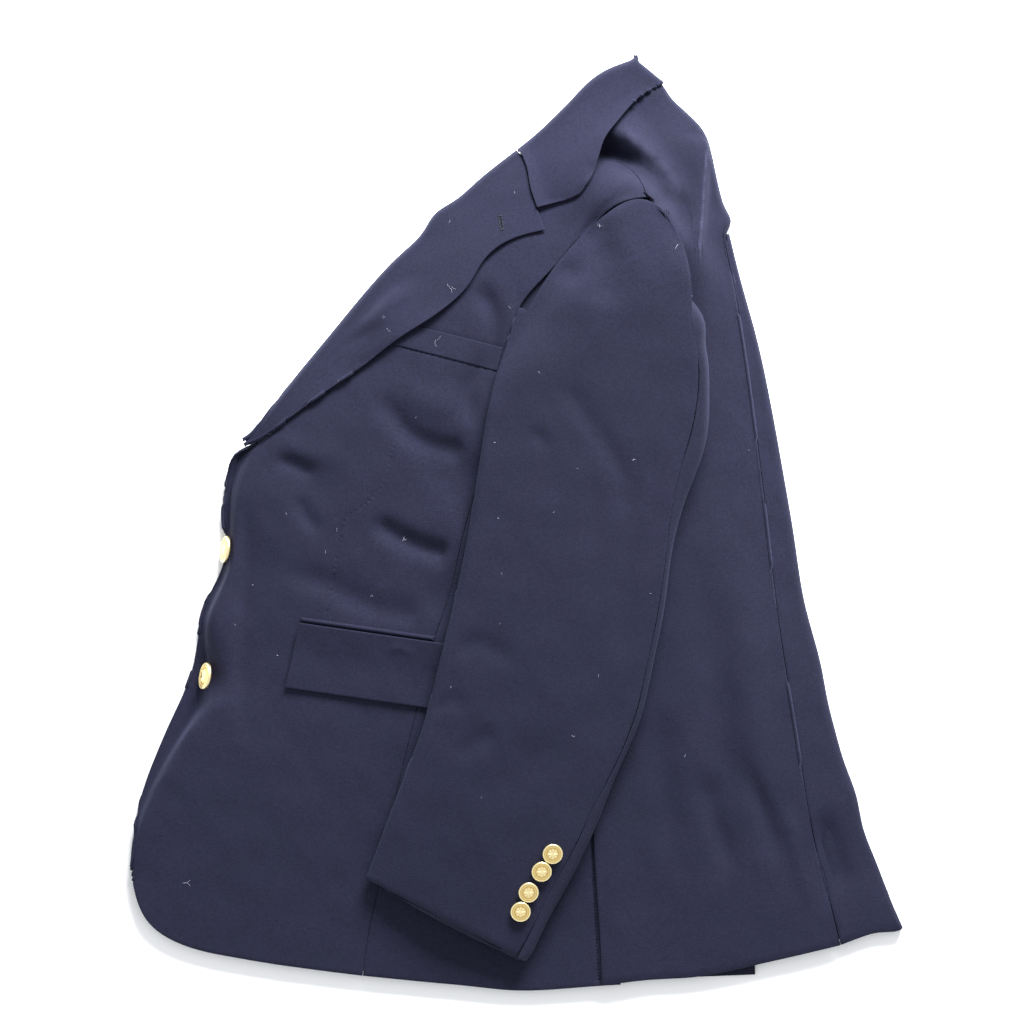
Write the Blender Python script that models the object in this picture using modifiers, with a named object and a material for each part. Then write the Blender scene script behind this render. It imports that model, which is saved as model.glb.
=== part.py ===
"""Navy single-breasted blazer, buttoned, folded lengthwise and laid on its right side.

+X runs from the front fold to the back fold, +Y from the hem to the collar and +Z up
from the surface it lies on. The tables are in millimetres, and MM turns them into metres.
"""

import math

import bmesh
import bpy
import numpy as np
from mathutils import Vector
from mathutils.bvhtree import BVHTree

MM = 0.001

# --- Cloth and gaps, mm ---
CLOTH = 2.0  # one wall of cloth with its canvas or lining
TURNED_CLOTH = 2.4  # lapel, collar, flap and welt are two cloths thick
SEAM_GAP = 0.3  # between two pieces that are sewn together
LAY_GAP = 0.6  # between a piece and what it lies on
HIDDEN_GAP = 0.9  # between the panels and the rounded hidden layers
LAID_MARGIN = 8.0  # around a pocket piece, what lies over it keeps clear of its edge too
FACE_SPREAD = 5.0  # width of the steep side that drops from the crest to the front edge

# --- Counts of rows and columns ---
SIDE_ROWS = 16  # hem to underarm
ARM_ROWS = 8  # underarm to shoulder point, front and back
ARM_CROWD = 1.35  # how the back's rows crowd together round the top of the armhole
SHOULDER_ROWS = 8  # shoulder point to collar
STRIP_ROWS = 21  # hem to where the centre back seam reaches the back fold
NECK_ROWS = 11  # from there to the collar
LAPEL_ROWS = 15
COLLAR_ROWS = 15
FRONT_COLUMNS = 8  # behind the crest, to the front seam
SIDE_COLUMNS = 7
BACK_COLUMNS = 14
BACK_CROWD = 1.35  # how the back's columns crowd together behind the shoulder
BACK_POWER = 7.0  # how quickly the curves of the back's hem and neck fade out inside it
HIDDEN_POWER = 3.0  # the same for the hidden layers
SLEEVE_ROWS = 24
FOLD_SAMPLES = 20  # along the path of one fold in the pile's height
SEAM_SAMPLES = 40  # along the seam at the side vent
CURVE_SAMPLES = 200  # along a curve that points are looked up on
SKY = 500.0  # height from which the laid pieces are looked down on

# --- Outline of the folded blazer, (x, y) in mm ---
FRONT_EDGE = (
    (-325, -293), (-323, -267), (-316, -227), (-305, -197), (-292, -167), (-278, -136),
    (-272, -116), (-268, -86), (-257, -56), (-248, -36), (-245, -22), (-248, -5),
    (-248, 15), (-243, 35), (-240, 46),
)
ROLL_EDGE = (
    (-240, 46), (-235, 55), (-222, 75), (-208, 95), (-184, 126), (-159, 156), (-126, 196),
    (-98, 226), (-74, 246), (-34, 287), (0, 314),
)
COLLAR_FOLD = ((0, 314), (16, 327), (37, 347), (69, 378), (101, 394))
COLLAR_END = ((101, 394), (110, 388), (117, 378), (122, 367))
BACK_FOLD = (
    (324, -339), (312, -308), (301, -278), (292, -258), (289, -249), (292, -241),
    (286, -227), (278, -207), (270, -177), (262, -147), (257, -116), (248, -86), (241, -56),
    (237, -26), (232, 5), (225, 45), (216, 95), (203, 156), (189, 206), (180, 243),
)
NECK_FOLD = (
    (180, 243), (170, 287), (163, 317), (160, 327), (152, 337), (142, 347), (131, 357), (122, 367),
)
FRONT_HEM = (
    (-325, -293), (-322, -318), (-313, -338), (-300, -349), (-283, -358), (-241, -368),
    (-178, -378), (-130, -384),
)
SIDE_HEM = ((-130, -384), (-87, -388), (-41, -392), (11, -396), (36, -394), (72, -391))
BACK_HEM = ((72, -393), (110, -388), (161, -384), (202, -375), (228, -369), (274, -358))
LOWER_HEM = ((-321, -293), (-318, -317), (-309, -335), (-282, -354), (-178, -375), (-87, -385),
             (11, -392), (72, -388), (150, -385), (202, -384))  # the hidden layers' hem
INNER_HEM = ((-321, -293), (-318, -317), (-309, -335), (-282, -354), (-178, -375), (-87, -385),
             (11, -390), (72, -386), (150, -379), (186, -374))  # without the corner that shows
LOWER_HEM_END = ((203, -372), (228, -366), (262, -357), (295, -349), (320, -339))

# --- Seams, from the hem upwards ---
FRONT_SEAM = (
    (-130, -384), (-126, -351), (-117, -312), (-102, -234), (-85, -163), (-68, -95),
    (-56, -62), (-47, -20), (-29, 43), (-10, 98), (10, 123),
)
FRONT_ARMHOLE = (
    (10, 123), (-1, 146), (-3, 165), (2, 179), (29, 210), (52, 237), (74, 256), (90, 267),
    (108, 270),
)
BACK_SEAM = (
    (72, -392), (71, -360), (68, -318), (65, -276), (64, -251), (67, -150), (70, -32),
    (69, 60), (62, 110),
)
BACK_ARMHOLE = (
    (62, 110), (80, 152), (104, 194), (122, 232), (129, 252), (121, 266), (108, 270),
)
UNDERARM = ((10, 123), (25, 113), (45, 109), (62, 110))
SHOULDER = ((108, 270), (105, 281), (100, 290), (91, 299), (78, 304), (64, 303))
CENTRE_BACK = (
    (274, -358), (267, -330), (248, -254), (236, -177), (223, -100), (211, 1), (199, 98),
    (191, 154), (181, 210), (173, 243),
)
UNDER_LAPEL = (
    (-240, 46), (-219, 67), (-196, 90), (-172, 118), (-147, 148), (-114, 187), (-86, 217),
    (-62, 238), (-22, 278), (8, 296),
)
FRONT_NECK = ((8, 296), (34, 300), (64, 303))
BACK_NECK = ((64, 303), (61, 318), (70, 338), (92, 357), (120, 366))

# --- Lapel and collar ---
LAPEL_EDGE = (
    (-238, 44), (-231, 57), (-220, 67), (-199, 81), (-165, 106), (-131, 129), (-98, 154),
    (-64, 176), (-39, 199), (-25, 223), (-6, 236), (24, 244),
)
GORGE = ((0, 314), (7, 302), (12, 278), (17, 263))
LAPEL_NOTCH = ((17, 263), (24, 244))
COLLAR_NOTCH = ((17, 263), (51, 272))
COLLAR_EDGE = (
    (51, 272), (62, 287), (68, 304), (73, 320), (87, 339), (104, 358), (124, 371),
)

# --- Sleeve ---
SLEEVE_FRONT = (
    (-127, -301), (-102, -234), (-77, -167), (-64, -116), (-52, -66), (-43, -24), (-32, 43),
    (-22, 102), (-16, 127), (-10, 144), (2, 179),
)
SLEEVE_REAR = (
    (9, -370), (27, -334), (43, -307), (54, -284), (64, -262), (72, -244), (82, -216),
    (101, -174), (108, -150), (114, -120), (121, -88), (126, -57), (130, -24), (135, -3),
    (142, 20), (152, 45), (160, 74), (161, 98), (161, 127), (157, 179), (152, 206),
    (146, 232), (137, 249), (127, 261),
)
ELBOW_SEAM = (
    (0, -367), (12, -345), (24, -319), (36, -295), (46, -280), (59, -251), (65, -237),
    (77, -216), (96, -174), (103, -150), (109, -120), (116, -88), (121, -57), (124, -32),
    (127, -7), (133, 35), (142, 60), (148, 83), (152, 122), (148, 161), (146, 186),
    (146, 211), (140, 232), (131, 246), (122, 258),
)
SLEEVE_HEAD = (
    (2, 179), (29, 210), (52, 237), (74, 256), (90, 267), (108, 270), (122, 266),
)

# --- Height of the pile: one row for each section, from the hem upwards, mm ---
PILE_SHARES = (0.0, 0.14, 0.38, 0.62, 0.85, 1.0)
PILE = (
    # y, front edge, crest, front, chest, side, back, back fold
    (-396, 8, 9, 9, 9, 9, 9, 8),
    (-340, 9, 10, 12, 13, 13, 12, 9),
    (-293, 8, 12, 16, 18, 18, 15, 10),
    (-230, 5, 17, 21, 25, 25, 20, 11),
    (-150, 4, 22, 27, 33, 33, 26, 13),
    (-50, 4, 22, 30, 39, 40, 31, 14),
    (50, 7, 20, 32, 44, 46, 34, 15),
    (130, 12, 20, 33, 47, 52, 36, 16),
    (200, 10, 19, 32, 47, 56, 36, 17),
    (260, 12, 18, 29, 42, 54, 34, 19),
    (310, 12, 17, 24, 30, 34, 30, 20),
    (360, 12, 16, 18, 19, 20, 20, 18),
    (396, 12, 15, 15, 15, 15, 15, 15),
)
CREST = (
    # y, x of the crest behind the front edge
    (-396, -60), (-384, -140), (-368, -240), (-349, -298), (-318, -320), (-293, -322),
    (-230, -305), (-193, -285), (-166, -268), (-145, -255), (-131, -252.5), (-116, -254), (-83, -258),
    (-59, -247), (-36, -239), (-24, -237), (-12, -237), (9, -240), (27, -237), (47, -230), (67, -219),
    (126, -174), (156, -149), (196, -116), (226, -88), (246, -63), (287, -24), (314, 10),
    (347, 46), (378, 78), (396, 103),
)
FOLDS = (
    # path, rise, spread to its left, spread to its right, share that fades in, and out
    (((49, 280), (78, 291), (105, 283), (127, 260), (146, 228), (156, 186), (159, 144)),
     18, 18, 58, 0.12, 0.5),  # shoulder, standing up on its pad
    (((56, 312), (80, 305), (104, 297), (127, 274), (147, 240)), -8, 16, 15, 0.15, 0.5),
    (((70, 344), (95, 318), (116, 285), (131, 246), (138, 215)), 9, 14, 13, 0.2, 0.4),
    (((160, 324), (157, 270), (152, 215)), 5, 5, 12, 0.15, 0.3),  # crease behind the shoulder
    (((-94, 60), (-56, 37), (-18, 18)), -5, 16, 16, 0.4, 0.3),
    (((-106, -32), (-73, -58), (-52, -78)), -5, 14, 14, 0.4, 0.3),
    (((-214, 1), (-222, -49), (-225, -108), (-220, -184)), -6, 13, 11, 0.3, 0.4),
    (((-195, 68), (-173, 35), (-144, 14)), -4, 14, 14, 0.4, 0.4),
    (((192, -32), (196, -150), (204, -276)), 4, 15, 15, 0.3, 0.3),
    (((154, -32), (171, -150), (184, -276)), -4, 15, 15, 0.3, 0.3),
    (((295, -263), (294, -293), (295, -322)), -4, 8, 7, 0.3, 0.3),
    (((251, -276), (268, -301), (280, -312)), -5, 12, 12, 0.3, 0.3),
)
SLEEVE_SHARES = (0.0, 0.25, 0.5, 0.75, 1.0)
SLEEVE_PILE = (
    # share of the sleeve's length, front fold, front, middle, rear, rear fold
    (0.00, 29, 31, 32, 29, 25),
    (0.15, 39, 43, 45, 41, 35),
    (0.35, 50, 56, 58, 53, 46),
    (0.55, 57, 65, 68, 63, 55),
    (0.75, 61, 70, 74, 70, 60),
    (0.90, 60, 70, 79, 78, 68),
    (1.00, 50, 64, 78, 80, 70),
)
SLEEVE_FOLDS = (
    (((10, 168), (36, 161), (60, 166)), -4, 10, 10, 0.4, 0.4),
    (((-20, -235), (10, -200), (45, -190)), -3, 14, 14, 0.4, 0.4),
    (((84, -140), (100, -165)), -3, 12, 12, 0.4, 0.4),
)
HEAD_BLEND = 0.1  # share of the sleeve over which its head sinks to the shoulder

# --- Rolled folds: width from the outline to the crest, mm ---
ROLL_ANGLES = (-50, -15, 15, 40, 65)
ROLL_MIDDLE = 0.4  # share of a fold's height at which it reaches furthest out
NARROW_STRIP, NARROW_LAPEL, NARROW_REAR = 0.5, 0.45, 0.7  # share of a narrow piece that rolls
TURNED_ROLL = 7.0  # lapel and collar
BACK_ROLL = (
    # y, width
    (-340, 4), (-300, 6), (-200, 9), (100, 10), (243, 8), (300, 6), (367, 5),
)
SLEEVE_ROLL = 7.5
ROLL_UNDER = 4.0  # how far a fold curls under itself
FLOOR_GAP = 0.8
RIM_RINGS = (
    # fold angle, and for a layered hem the depth below the edge and the share of height
    (60, 0.4, 0.88), (30, 0.0, 0.62), (0, 1.6, 0.54), (-30, 0.0, 0.46), (-60, 0.3, 0.10),
)
HEM_FLOOR = 1.2
RIM_GAP = 1.6  # between the rounded edge of the hidden layers and the panel over it
FRONT_INSET = 9.0  # the hidden layers stand this far behind the crest of the front
COVER = 5.4  # and this far inside a fold of the cloth above

# --- Pockets ---
FLAP_CORNER = (-182, -85)
FLAP_LENGTH = 165.0
FLAP_DEPTH = 56.0
FLAP_ALONG = (0.990, -0.140)
FLAP_DOWN = (-0.225, -0.974)
JET_WIDTH = 4.4
WELT_CORNER = (-112, 151)
WELT_LENGTH = 99.0
WELT_HEIGHT = 20.0
WELT_ALONG = (0.968, -0.252)
WELT_UP = (0.230, 0.973)

# --- Buttons ---
CUFF_BUTTON_WIDTH = 17.3
FRONT_BUTTON_WIDTH = 23.5
CUFF_BUTTONS = ((30.0, -278.0), (20.8, -293.0), (9.9, -310.6), (3.2, -327.0))
FRONT_BUTTONS = (
    # x, y, z of the centre, lean towards the front edge and towards the collar, degrees
    (-242.4, -24.0, 13.5, 72, 8),
    (-259.5, -131.0, 13.5, 66, 10),
)
BUTTON_PROFILE = (
    # radius and height as shares of the button's width, from the dome round to the shank
    (0.0, 0.255), (0.25, 0.235), (0.40, 0.185), (0.44, 0.175), (0.485, 0.16), (0.5, 0.135),
    (0.485, 0.11), (0.40, 0.085), (0.16, 0.08), (0.16, 0.0), (0.0, 0.0),
)
BUTTON_SIDES = 20
BUTTON_GAP = 0.4
BUTTON_REACH = 6.0  # over which the slope under a button is taken

# --- Side vent and the band beside the centre back seam ---
VENT_ROWS = 4  # rows of the side panel that run under the back
VENT_UNDERLAP = 16.0
VENT_STEP = 2.8  # how far the back stands off the side panel there
VENT_TOP = -240.0
SEAM_BAND = 10.0
BAND_SHARES = np.array((0.8, 0.6, 0.4, 0.2, 0.0))
FACE_STEPS = (-8.5, -5.5, -3.5, -1.5, 1.5, 7.0)  # columns on the steep face, from the crest
FACE_REACH = 10.0  # a crest nearer to the edge than this draws those columns together
CREST_REACH = (8.0, 40.0)  # least and most distance from the front edge to the crest
LAPEL_CREST = 12.0  # that distance under the lapel
HEM_COVER = 1.5
HEM_ROLL = 2.5
JET_CLOTH = 1.4

# --- Turned pieces and sleeve ---
GORGE_COLUMNS = 6
NOTCH_COLUMNS = 2
LAPEL_LIFT = 2.0  # how far the lapel's edge stands off the front
LAPEL_LIFT_POWER = 3  # how much of that is close to the edge
LAPEL_LIFT_ENDS = (0.3, 0.2)  # shares of its length over which it runs out
COLLAR_PULL_POWER = 6  # how close to the centre back the collar is pulled in
COLLAR_EDGE_HEIGHTS = (58.0, 50.0, 40.0, 28.0, 20.0)  # from the notch to the centre back
COLLAR_END_WAY = (0.69, 0.72)  # direction in which the collar turns down at the centre back
COLLAR_END_DEPTH = 5.0
COLLAR_END_RINGS = ((3.4, 0.92), (5.0, 0.66))  # reach, share of height
SLOPE_STEP = 2.5  # over which a slope of the pile is taken
VENT_MARGIN = 3.0
VENT_RUN = 18.0  # over which the back comes down from the side panel
COLLAR_BRIDGE_START = 0.3  # share of the collar over which its edge comes off the front
COLLAR_END_COVER = 8.5
COLLAR_CORNER = (365.0, 390.0)  # y over which the hidden layers draw back from the collar's fold
COLLAR_CORNER_COVER = 4.0
NECK_END = (335.0, 367.0)  # y over which they draw back in the same way from the neck's fold
SEAM_CROSSING = 252.0  # y where the centre back seam runs round the back fold
SEAM_CROSSING_REACH = 24.0
SEAM_CROSSING_COVER = 9.0
TURN_GAP = 0.8  # between lapel and collar where both roll over the fold
LAPEL_START = 0.07  # share of the roll line where the lapel comes free
LAPEL_FLAT_ROWS = 4  # over which the lapel's tail goes from flat to rolled
SLEEVE_FLAT = 0.2  # share of the sleeve over which its front fold flattens into the head
HIDDEN_FRONT_ROWS = 12
HIDDEN_FRONT = (-290.0, 15.0)  # y of the hidden layers' edge that runs behind the front's crest
HIDDEN_TAIL = (-290.0, -230.0)  # y over which that edge comes in from the hem corner
HIDDEN_TURN = (15.0, 75.0)  # y over which it passes from the crest to the lapel's fold
HIDDEN_ROLL_SHIFT = ((46.0, 120.0), (14.0, 0.0))  # y, and how far it stands inside the roll line
HIDDEN_FRONT_COVER = 0.5
HIDDEN_FRONT_ROLL = 4.0
HIDDEN_LAPEL_ROWS = 11
HIDDEN_COLUMNS = 17
HEM_END_COLUMNS = 4
TOP_SLEEVE_COLUMNS = 9
UNDER_SLEEVE_COLUMNS = 6
UNDER_SLEEVE_SHARE = 0.88  # of the sleeve's length that is stuffed
STEP_GAP = 0.1

NAVY = (0.020, 0.021, 0.045)
NAVY_DARK = (0.014, 0.015, 0.032)
GOLD = (0.80, 0.62, 0.26)


def spline(knots, values, at):
    """Values at the given places on a smooth curve through the rows of a table."""
    knots = np.asarray(knots, float)
    values = np.asarray(values, float)
    slopes = np.gradient(values, knots, axis=0)
    at = np.clip(at, knots[0], knots[-1])
    span = np.clip(np.searchsorted(knots, at, side="right") - 1, 0, len(knots) - 2)
    width = knots[span + 1] - knots[span]
    t = (at - knots[span]) / width
    if values.ndim > 1:
        t = t[..., None]
        width = width[..., None]
    start = (1 + 2 * t) * (1 - t) ** 2 * values[span] + t * (1 - t) ** 2 * width * slopes[span]
    end = t * t * (3 - 2 * t) * values[span + 1] + t * t * (t - 1) * width * slopes[span + 1]
    return start + end


def even(count):
    """Shares 0 to 1 in equal steps."""
    return np.linspace(0.0, 1.0, count + 1)


def along(path, shares):
    """Points at shares of the length of a smooth curve through the path's points."""
    path = np.asarray(path, float)
    knots = np.r_[0, np.cumsum(np.linalg.norm(np.diff(path, axis=0), axis=1))]
    fine = spline(knots, path, np.linspace(0, knots[-1], 30 * len(path)))
    length = np.r_[0, np.cumsum(np.linalg.norm(np.diff(fine, axis=0), axis=1))]
    at = np.asarray(shares) * length[-1]
    return np.stack([np.interp(at, length, fine[:, axis]) for axis in (0, 1)], axis=1)


def chain(*runs):
    """One run of points from several that meet end to start."""
    points = list(runs[0])
    for run in runs[1:]:
        points += list(run[1:])
    return np.array(points)


def smooth(share):
    """0 up to share 0 and 1 from share 1, with a smooth rise between them."""
    share = np.clip(share, 0, 1)
    return share ** 2 * (3 - 2 * share)


def fade(share, rising, falling):
    """1 in the middle of a fold, running out smoothly to 0 at both of its ends."""
    return smooth(share / rising) * smooth((1 - share) / falling)


def fold_rise(x, y, path, rise, left, right, rising, falling):
    """Height that one fold adds at each place: a soft ridge or trough along its path."""
    line = along(path, even(FOLD_SAMPLES))
    start = line[:-1]
    step = line[1:] - start
    place = np.stack([x, y], axis=-1)[..., None, :]
    share = np.clip(np.sum((place - start) * step, axis=-1) / np.sum(step * step, axis=-1), 0, 1)
    off = place - start - share[..., None] * step
    distance = np.linalg.norm(off, axis=-1)
    nearest = np.argmin(distance, axis=-1)[..., None]
    near = np.take_along_axis(distance, nearest, axis=-1)[..., 0]
    turn = np.take_along_axis(off[..., 1] * step[:, 0] - off[..., 0] * step[:, 1], nearest, axis=-1)
    reached = (nearest[..., 0] + np.take_along_axis(share, nearest, axis=-1)[..., 0]) / len(step)
    spread = np.where(turn[..., 0] > 0, left, right)
    return rise * np.exp(-((near / spread) ** 2)) * fade(reached, rising, falling)


def across(shares, heights, at):
    """Height between the columns of one row of a pile table, a row for each place."""
    shares = np.asarray(shares, float)
    slopes = np.gradient(heights, shares, axis=-1)
    at = np.clip(at, 0, 1)
    span = np.clip(np.searchsorted(shares, at, side="right") - 1, 0, len(shares) - 2)
    width = shares[span + 1] - shares[span]
    t = (at - shares[span]) / width
    low, high = (np.take_along_axis(heights, k[..., None], axis=-1)[..., 0] for k in (span, span + 1))
    rise, fall = (np.take_along_axis(slopes, k[..., None], axis=-1)[..., 0] for k in (span, span + 1))
    start = (1 + 2 * t) * (1 - t) ** 2 * low + t * (1 - t) ** 2 * width * rise
    return start + t * t * (3 - 2 * t) * high + t * t * (t - 1) * width * fall


CREST_LINE = np.array(CREST, float)
BACK_LINE = chain(*(along(path, even(SEAM_SAMPLES)) for path in (BACK_FOLD, NECK_FOLD, COLLAR_END[::-1])))
PILE_ROWS = np.array(PILE, float)
SLEEVE_ROWS_TABLE = np.array(SLEEVE_PILE, float)


def pile_height(x, y, folds=FOLDS):
    """Height of the panels' outer face above the surface that the blazer lies on."""
    x, y = np.broadcast_arrays(np.asarray(x, float), np.asarray(y, float))
    left = spline(CREST_LINE[:, 0], CREST_LINE[:, 1], y)
    right = np.interp(y, BACK_LINE[:, 1], BACK_LINE[:, 0])
    heights = spline(PILE_ROWS[:, 0], PILE_ROWS[:, 1:], y)
    body = across(PILE_SHARES, heights[..., 1:], (x - left) / (right - left))
    beyond = np.maximum(left - x, 0)
    drop = 1 - np.exp(-((beyond / FACE_SPREAD) ** 2))
    height = body - drop * (heights[..., 1] - heights[..., 0])
    for fold in folds:
        height = height + fold_rise(x, y, *fold)
    return height


def ball_samples(radius):
    """Offsets inside a circle, and the height of a ball of that radius above each."""
    yield 0.0, 0.0, radius
    for reach, count in ((0.6, 6), (0.97, 10)):
        for index in range(count):
            turn = 2 * math.pi * (index + 0.5 * (count % 4) / 4) / count
            yield (radius * reach * math.cos(turn), radius * reach * math.sin(turn),
                   radius * math.sqrt(1 - reach ** 2))


def short_diagonals(points):
    """For each face of a grid, whether the diagonal from its first corner is the shorter one.

    It is measured in plan, so that raising or lowering a point doesn't turn a diagonal round.
    """
    plan = points[..., :2]
    main = np.linalg.norm(plan[1:, 1:] - plan[:-1, :-1], axis=-1)
    other = np.linalg.norm(plan[:-1, 1:] - plan[1:, :-1], axis=-1)
    return main <= other


class LaidPieces:
    """The outer faces laid so far, so that the next piece can be laid on them."""

    def __init__(self, elsewhere):
        self.trees = []
        self.elsewhere = elsewhere

    def add(self, points, splits=None):
        columns = points.shape[1]
        faces = []
        for (row, column), is_main in np.ndenumerate(short_diagonals(points) if splits is None else splits):
            near = row * columns + column
            far = near + columns
            if is_main:
                faces += [(near, near + 1, far + 1), (near, far + 1, far)]
            else:
                faces += [(near, near + 1, far), (near + 1, far + 1, far)]
        self.trees.append(BVHTree.FromPolygons([Vector(p) for p in points.reshape(-1, 3)], faces))

    def highest(self, x, y):
        """Height of the highest face at each place, not a number where there is none."""
        down = Vector((0, 0, -1))
        found = np.full(x.size, np.nan)
        for index, (px, py) in enumerate(zip(x.ravel(), y.ravel())):
            start = Vector((px, py, SKY))
            hits = [tree.ray_cast(start, down)[0] for tree in self.trees]
            found[index] = max((hit.z for hit in hits if hit is not None), default=np.nan)
        return found.reshape(x.shape)

    def top(self, x, y):
        """Height of the highest face, or the height elsewhere at a place with no face."""
        x, y = np.broadcast_arrays(np.asarray(x, float), np.asarray(y, float))
        found = self.highest(x, y)
        return np.where(np.isnan(found), self.elsewhere(x, y), found)

    def over(self, x, y, clearance):
        """Height that stays clear of every face laid so far, on slopes too."""
        return np.max([self.top(x + dx, y + dy) + up for dx, dy, up in ball_samples(clearance)], axis=0)

    def under(self, x, y, clearance):
        """Height that stays clear below every face laid so far, on slopes too."""
        return np.min([self.top(x + dx, y + dy) - up for dx, dy, up in ball_samples(clearance)], axis=0)


LAID = LaidPieces(pile_height)
UNDERSIDE = LaidPieces(lambda x, y: pile_height(x, y) - CLOTH)  # inner faces of the body panels
FINE = 3  # samples along each side of a face when its clearance is checked


def fine_samples(points):
    """Points of a grid and on the two triangles of each of its faces."""
    rows, columns = points.shape[:2]
    r = np.linspace(0, rows - 1, FINE * (rows - 1) + 1)
    c = np.linspace(0, columns - 1, FINE * (columns - 1) + 1)
    r0 = np.minimum(r.astype(int), rows - 2)
    c0 = np.minimum(c.astype(int), columns - 2)
    s, t = (r - r0)[:, None, None], (c - c0)[None, :, None]
    near, right = points[r0][:, c0], points[r0][:, c0 + 1]
    far, opposite = points[r0 + 1][:, c0], points[r0 + 1][:, c0 + 1]
    main = np.where(t >= s, near + t * (right - near) + s * (opposite - right),
                    near + s * (far - near) + t * (opposite - far))
    other = np.where(s + t <= 1, near + t * (right - near) + s * (far - near),
                     opposite + (1 - t) * (far - opposite) + (1 - s) * (right - opposite))
    return np.where(short_diagonals(points)[r0][:, c0][..., None], main, other)


def kept_clear(points, clearance, sign=1, pieces=LAID):
    """A grid moved up (sign 1) or down (sign -1) until its faces clear the pieces laid so far."""
    fine = fine_samples(points)
    limit = pieces.over if sign > 0 else pieces.under
    needed = sign * (limit(fine[..., 0], fine[..., 1], clearance) - fine[..., 2])
    padded = np.pad(needed, FINE, constant_values=-np.inf)
    reach = 2 * FINE - 1
    windows = np.lib.stride_tricks.sliding_window_view(padded, (reach, reach))
    most = windows.max(axis=(-2, -1))[1::FINE, 1::FINE][: points.shape[0], : points.shape[1]]
    moved = points.copy()
    moved[..., 2] += sign * np.maximum(most, 0)
    return moved


def patch(left, right, bottom, top, power=1.0):
    """Plan points of a panel between its four edges, one row of points for each station.

    With a higher power the curves of the bottom and top edges reach less far into the panel.
    """
    v = even(len(left) - 1)[:, None, None]
    u = even(len(bottom) - 1)[None, :, None]
    left, right = np.asarray(left)[:, None, :], np.asarray(right)[:, None, :]
    plan = (1 - u) * left + u * right
    for edge, weight in ((bottom, (1 - v) ** power), (top, v ** power)):
        edge = np.asarray(edge)[None, :, :]
        plan = plan + weight * (edge - (1 - u) * edge[:, :1] - u * edge[:, -1:])
    return plan


def inward(edge, side):
    """Unit directions across an edge, to its right (side 1) or to its left (side -1)."""
    run = np.gradient(np.asarray(edge, float), axis=0)
    run /= np.linalg.norm(run, axis=1)[:, None]
    return side * np.stack([run[:, 1], -run[:, 0]], axis=1)


def shifted(edge, side, distance):
    """An edge moved sideways by a distance, which may differ from point to point."""
    return np.asarray(edge) + inward(edge, side) * np.reshape(distance, (-1, 1))


def with_height(plan, height):
    """Plan points with their heights."""
    return np.concatenate([plan, np.asarray(height)[..., None]], axis=-1)


def roll_section(angle, width, crest, middle, floor):
    """Depth and height of the quarter of a rolled fold that holds the angle."""
    if angle > 0:
        return width, crest - middle
    return np.minimum(width, ROLL_UNDER), middle - floor


def roll_normals(way, width, crest, floor):
    """Outward directions at the section points of a rolled fold."""
    width, crest = np.reshape(width, (-1, 1)), np.reshape(crest, (-1, 1))
    middle = floor + ROLL_MIDDLE * (crest - floor)
    normals = []
    for angle in ROLL_ANGLES:
        turn = math.radians(angle)
        depth, span = roll_section(angle, width, crest, middle, floor)
        normal = np.concatenate([-way * math.cos(turn) / depth, math.sin(turn) / span], axis=1)
        normals.append(normal / np.linalg.norm(normal, axis=1, keepdims=True))
    return np.stack(normals, axis=1)


def face_normals(plan, height):
    """Unit normals of a height function at plan points."""
    x, y = plan[..., 0], plan[..., 1]
    slope_x = (height(x + SLOPE_STEP, y) - height(x - SLOPE_STEP, y)) / (2 * SLOPE_STEP)
    slope_y = (height(x, y + SLOPE_STEP) - height(x, y - SLOPE_STEP)) / (2 * SLOPE_STEP)
    normals = np.stack([-slope_x, -slope_y, np.ones_like(slope_x)], axis=-1)
    return normals / np.linalg.norm(normals, axis=-1, keepdims=True)


def roll_points(edge, way, width, crest, floor, flat=0.0, flat_height=None):
    """Section points of a rolled fold: from under it, round the outline, up to its crest.

    Where flat is 1 the cloth isn't rolled there but lies out to the outline, at flat_height.
    """
    width = np.reshape(np.broadcast_to(width, len(edge)), (-1, 1))
    crest = np.reshape(crest, (-1, 1))
    floor = np.reshape(np.broadcast_to(floor, len(edge)), (-1, 1))
    flat = np.reshape(np.broadcast_to(flat, len(edge)), (-1, 1))
    middle = floor + ROLL_MIDDLE * (crest - floor)
    points = []
    for index, angle in enumerate(ROLL_ANGLES):
        turn = math.radians(angle)
        depth, span = roll_section(angle, width, crest, middle, floor)
        reach = depth * (1 - math.cos(turn))
        rolled = np.concatenate([edge + way * reach, middle + span * math.sin(turn)], axis=1)
        if flat_height is not None:
            spread = edge + way * width * index / len(ROLL_ANGLES)
            rolled = rolled * (1 - flat) + with_height(spread, flat_height(spread)) * flat
        points.append(rolled)
    return np.stack(points, axis=1)


def material(name, color, metallic, roughness):
    """A Principled material."""
    made = bpy.data.materials.new(name)
    made.use_nodes = True
    shader = made.node_tree.nodes["Principled BSDF"]
    shader.inputs["Base Color"].default_value = (*color, 1.0)
    shader.inputs["Metallic"].default_value = metallic
    shader.inputs["Roughness"].default_value = roughness
    return made


def finish_mesh(name, bm, stuff, group):
    """A named object in the blazer's collection from a bmesh in metres."""
    mesh = bpy.data.meshes.new(name)
    bm.to_mesh(mesh)
    bm.free()
    mesh.shade_smooth()
    mesh.set_sharp_from_angle(angle=math.radians(40))
    mesh.materials.append(stuff)
    piece = bpy.data.objects.new(name, mesh)
    group.objects.link(piece)
    return piece


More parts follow.
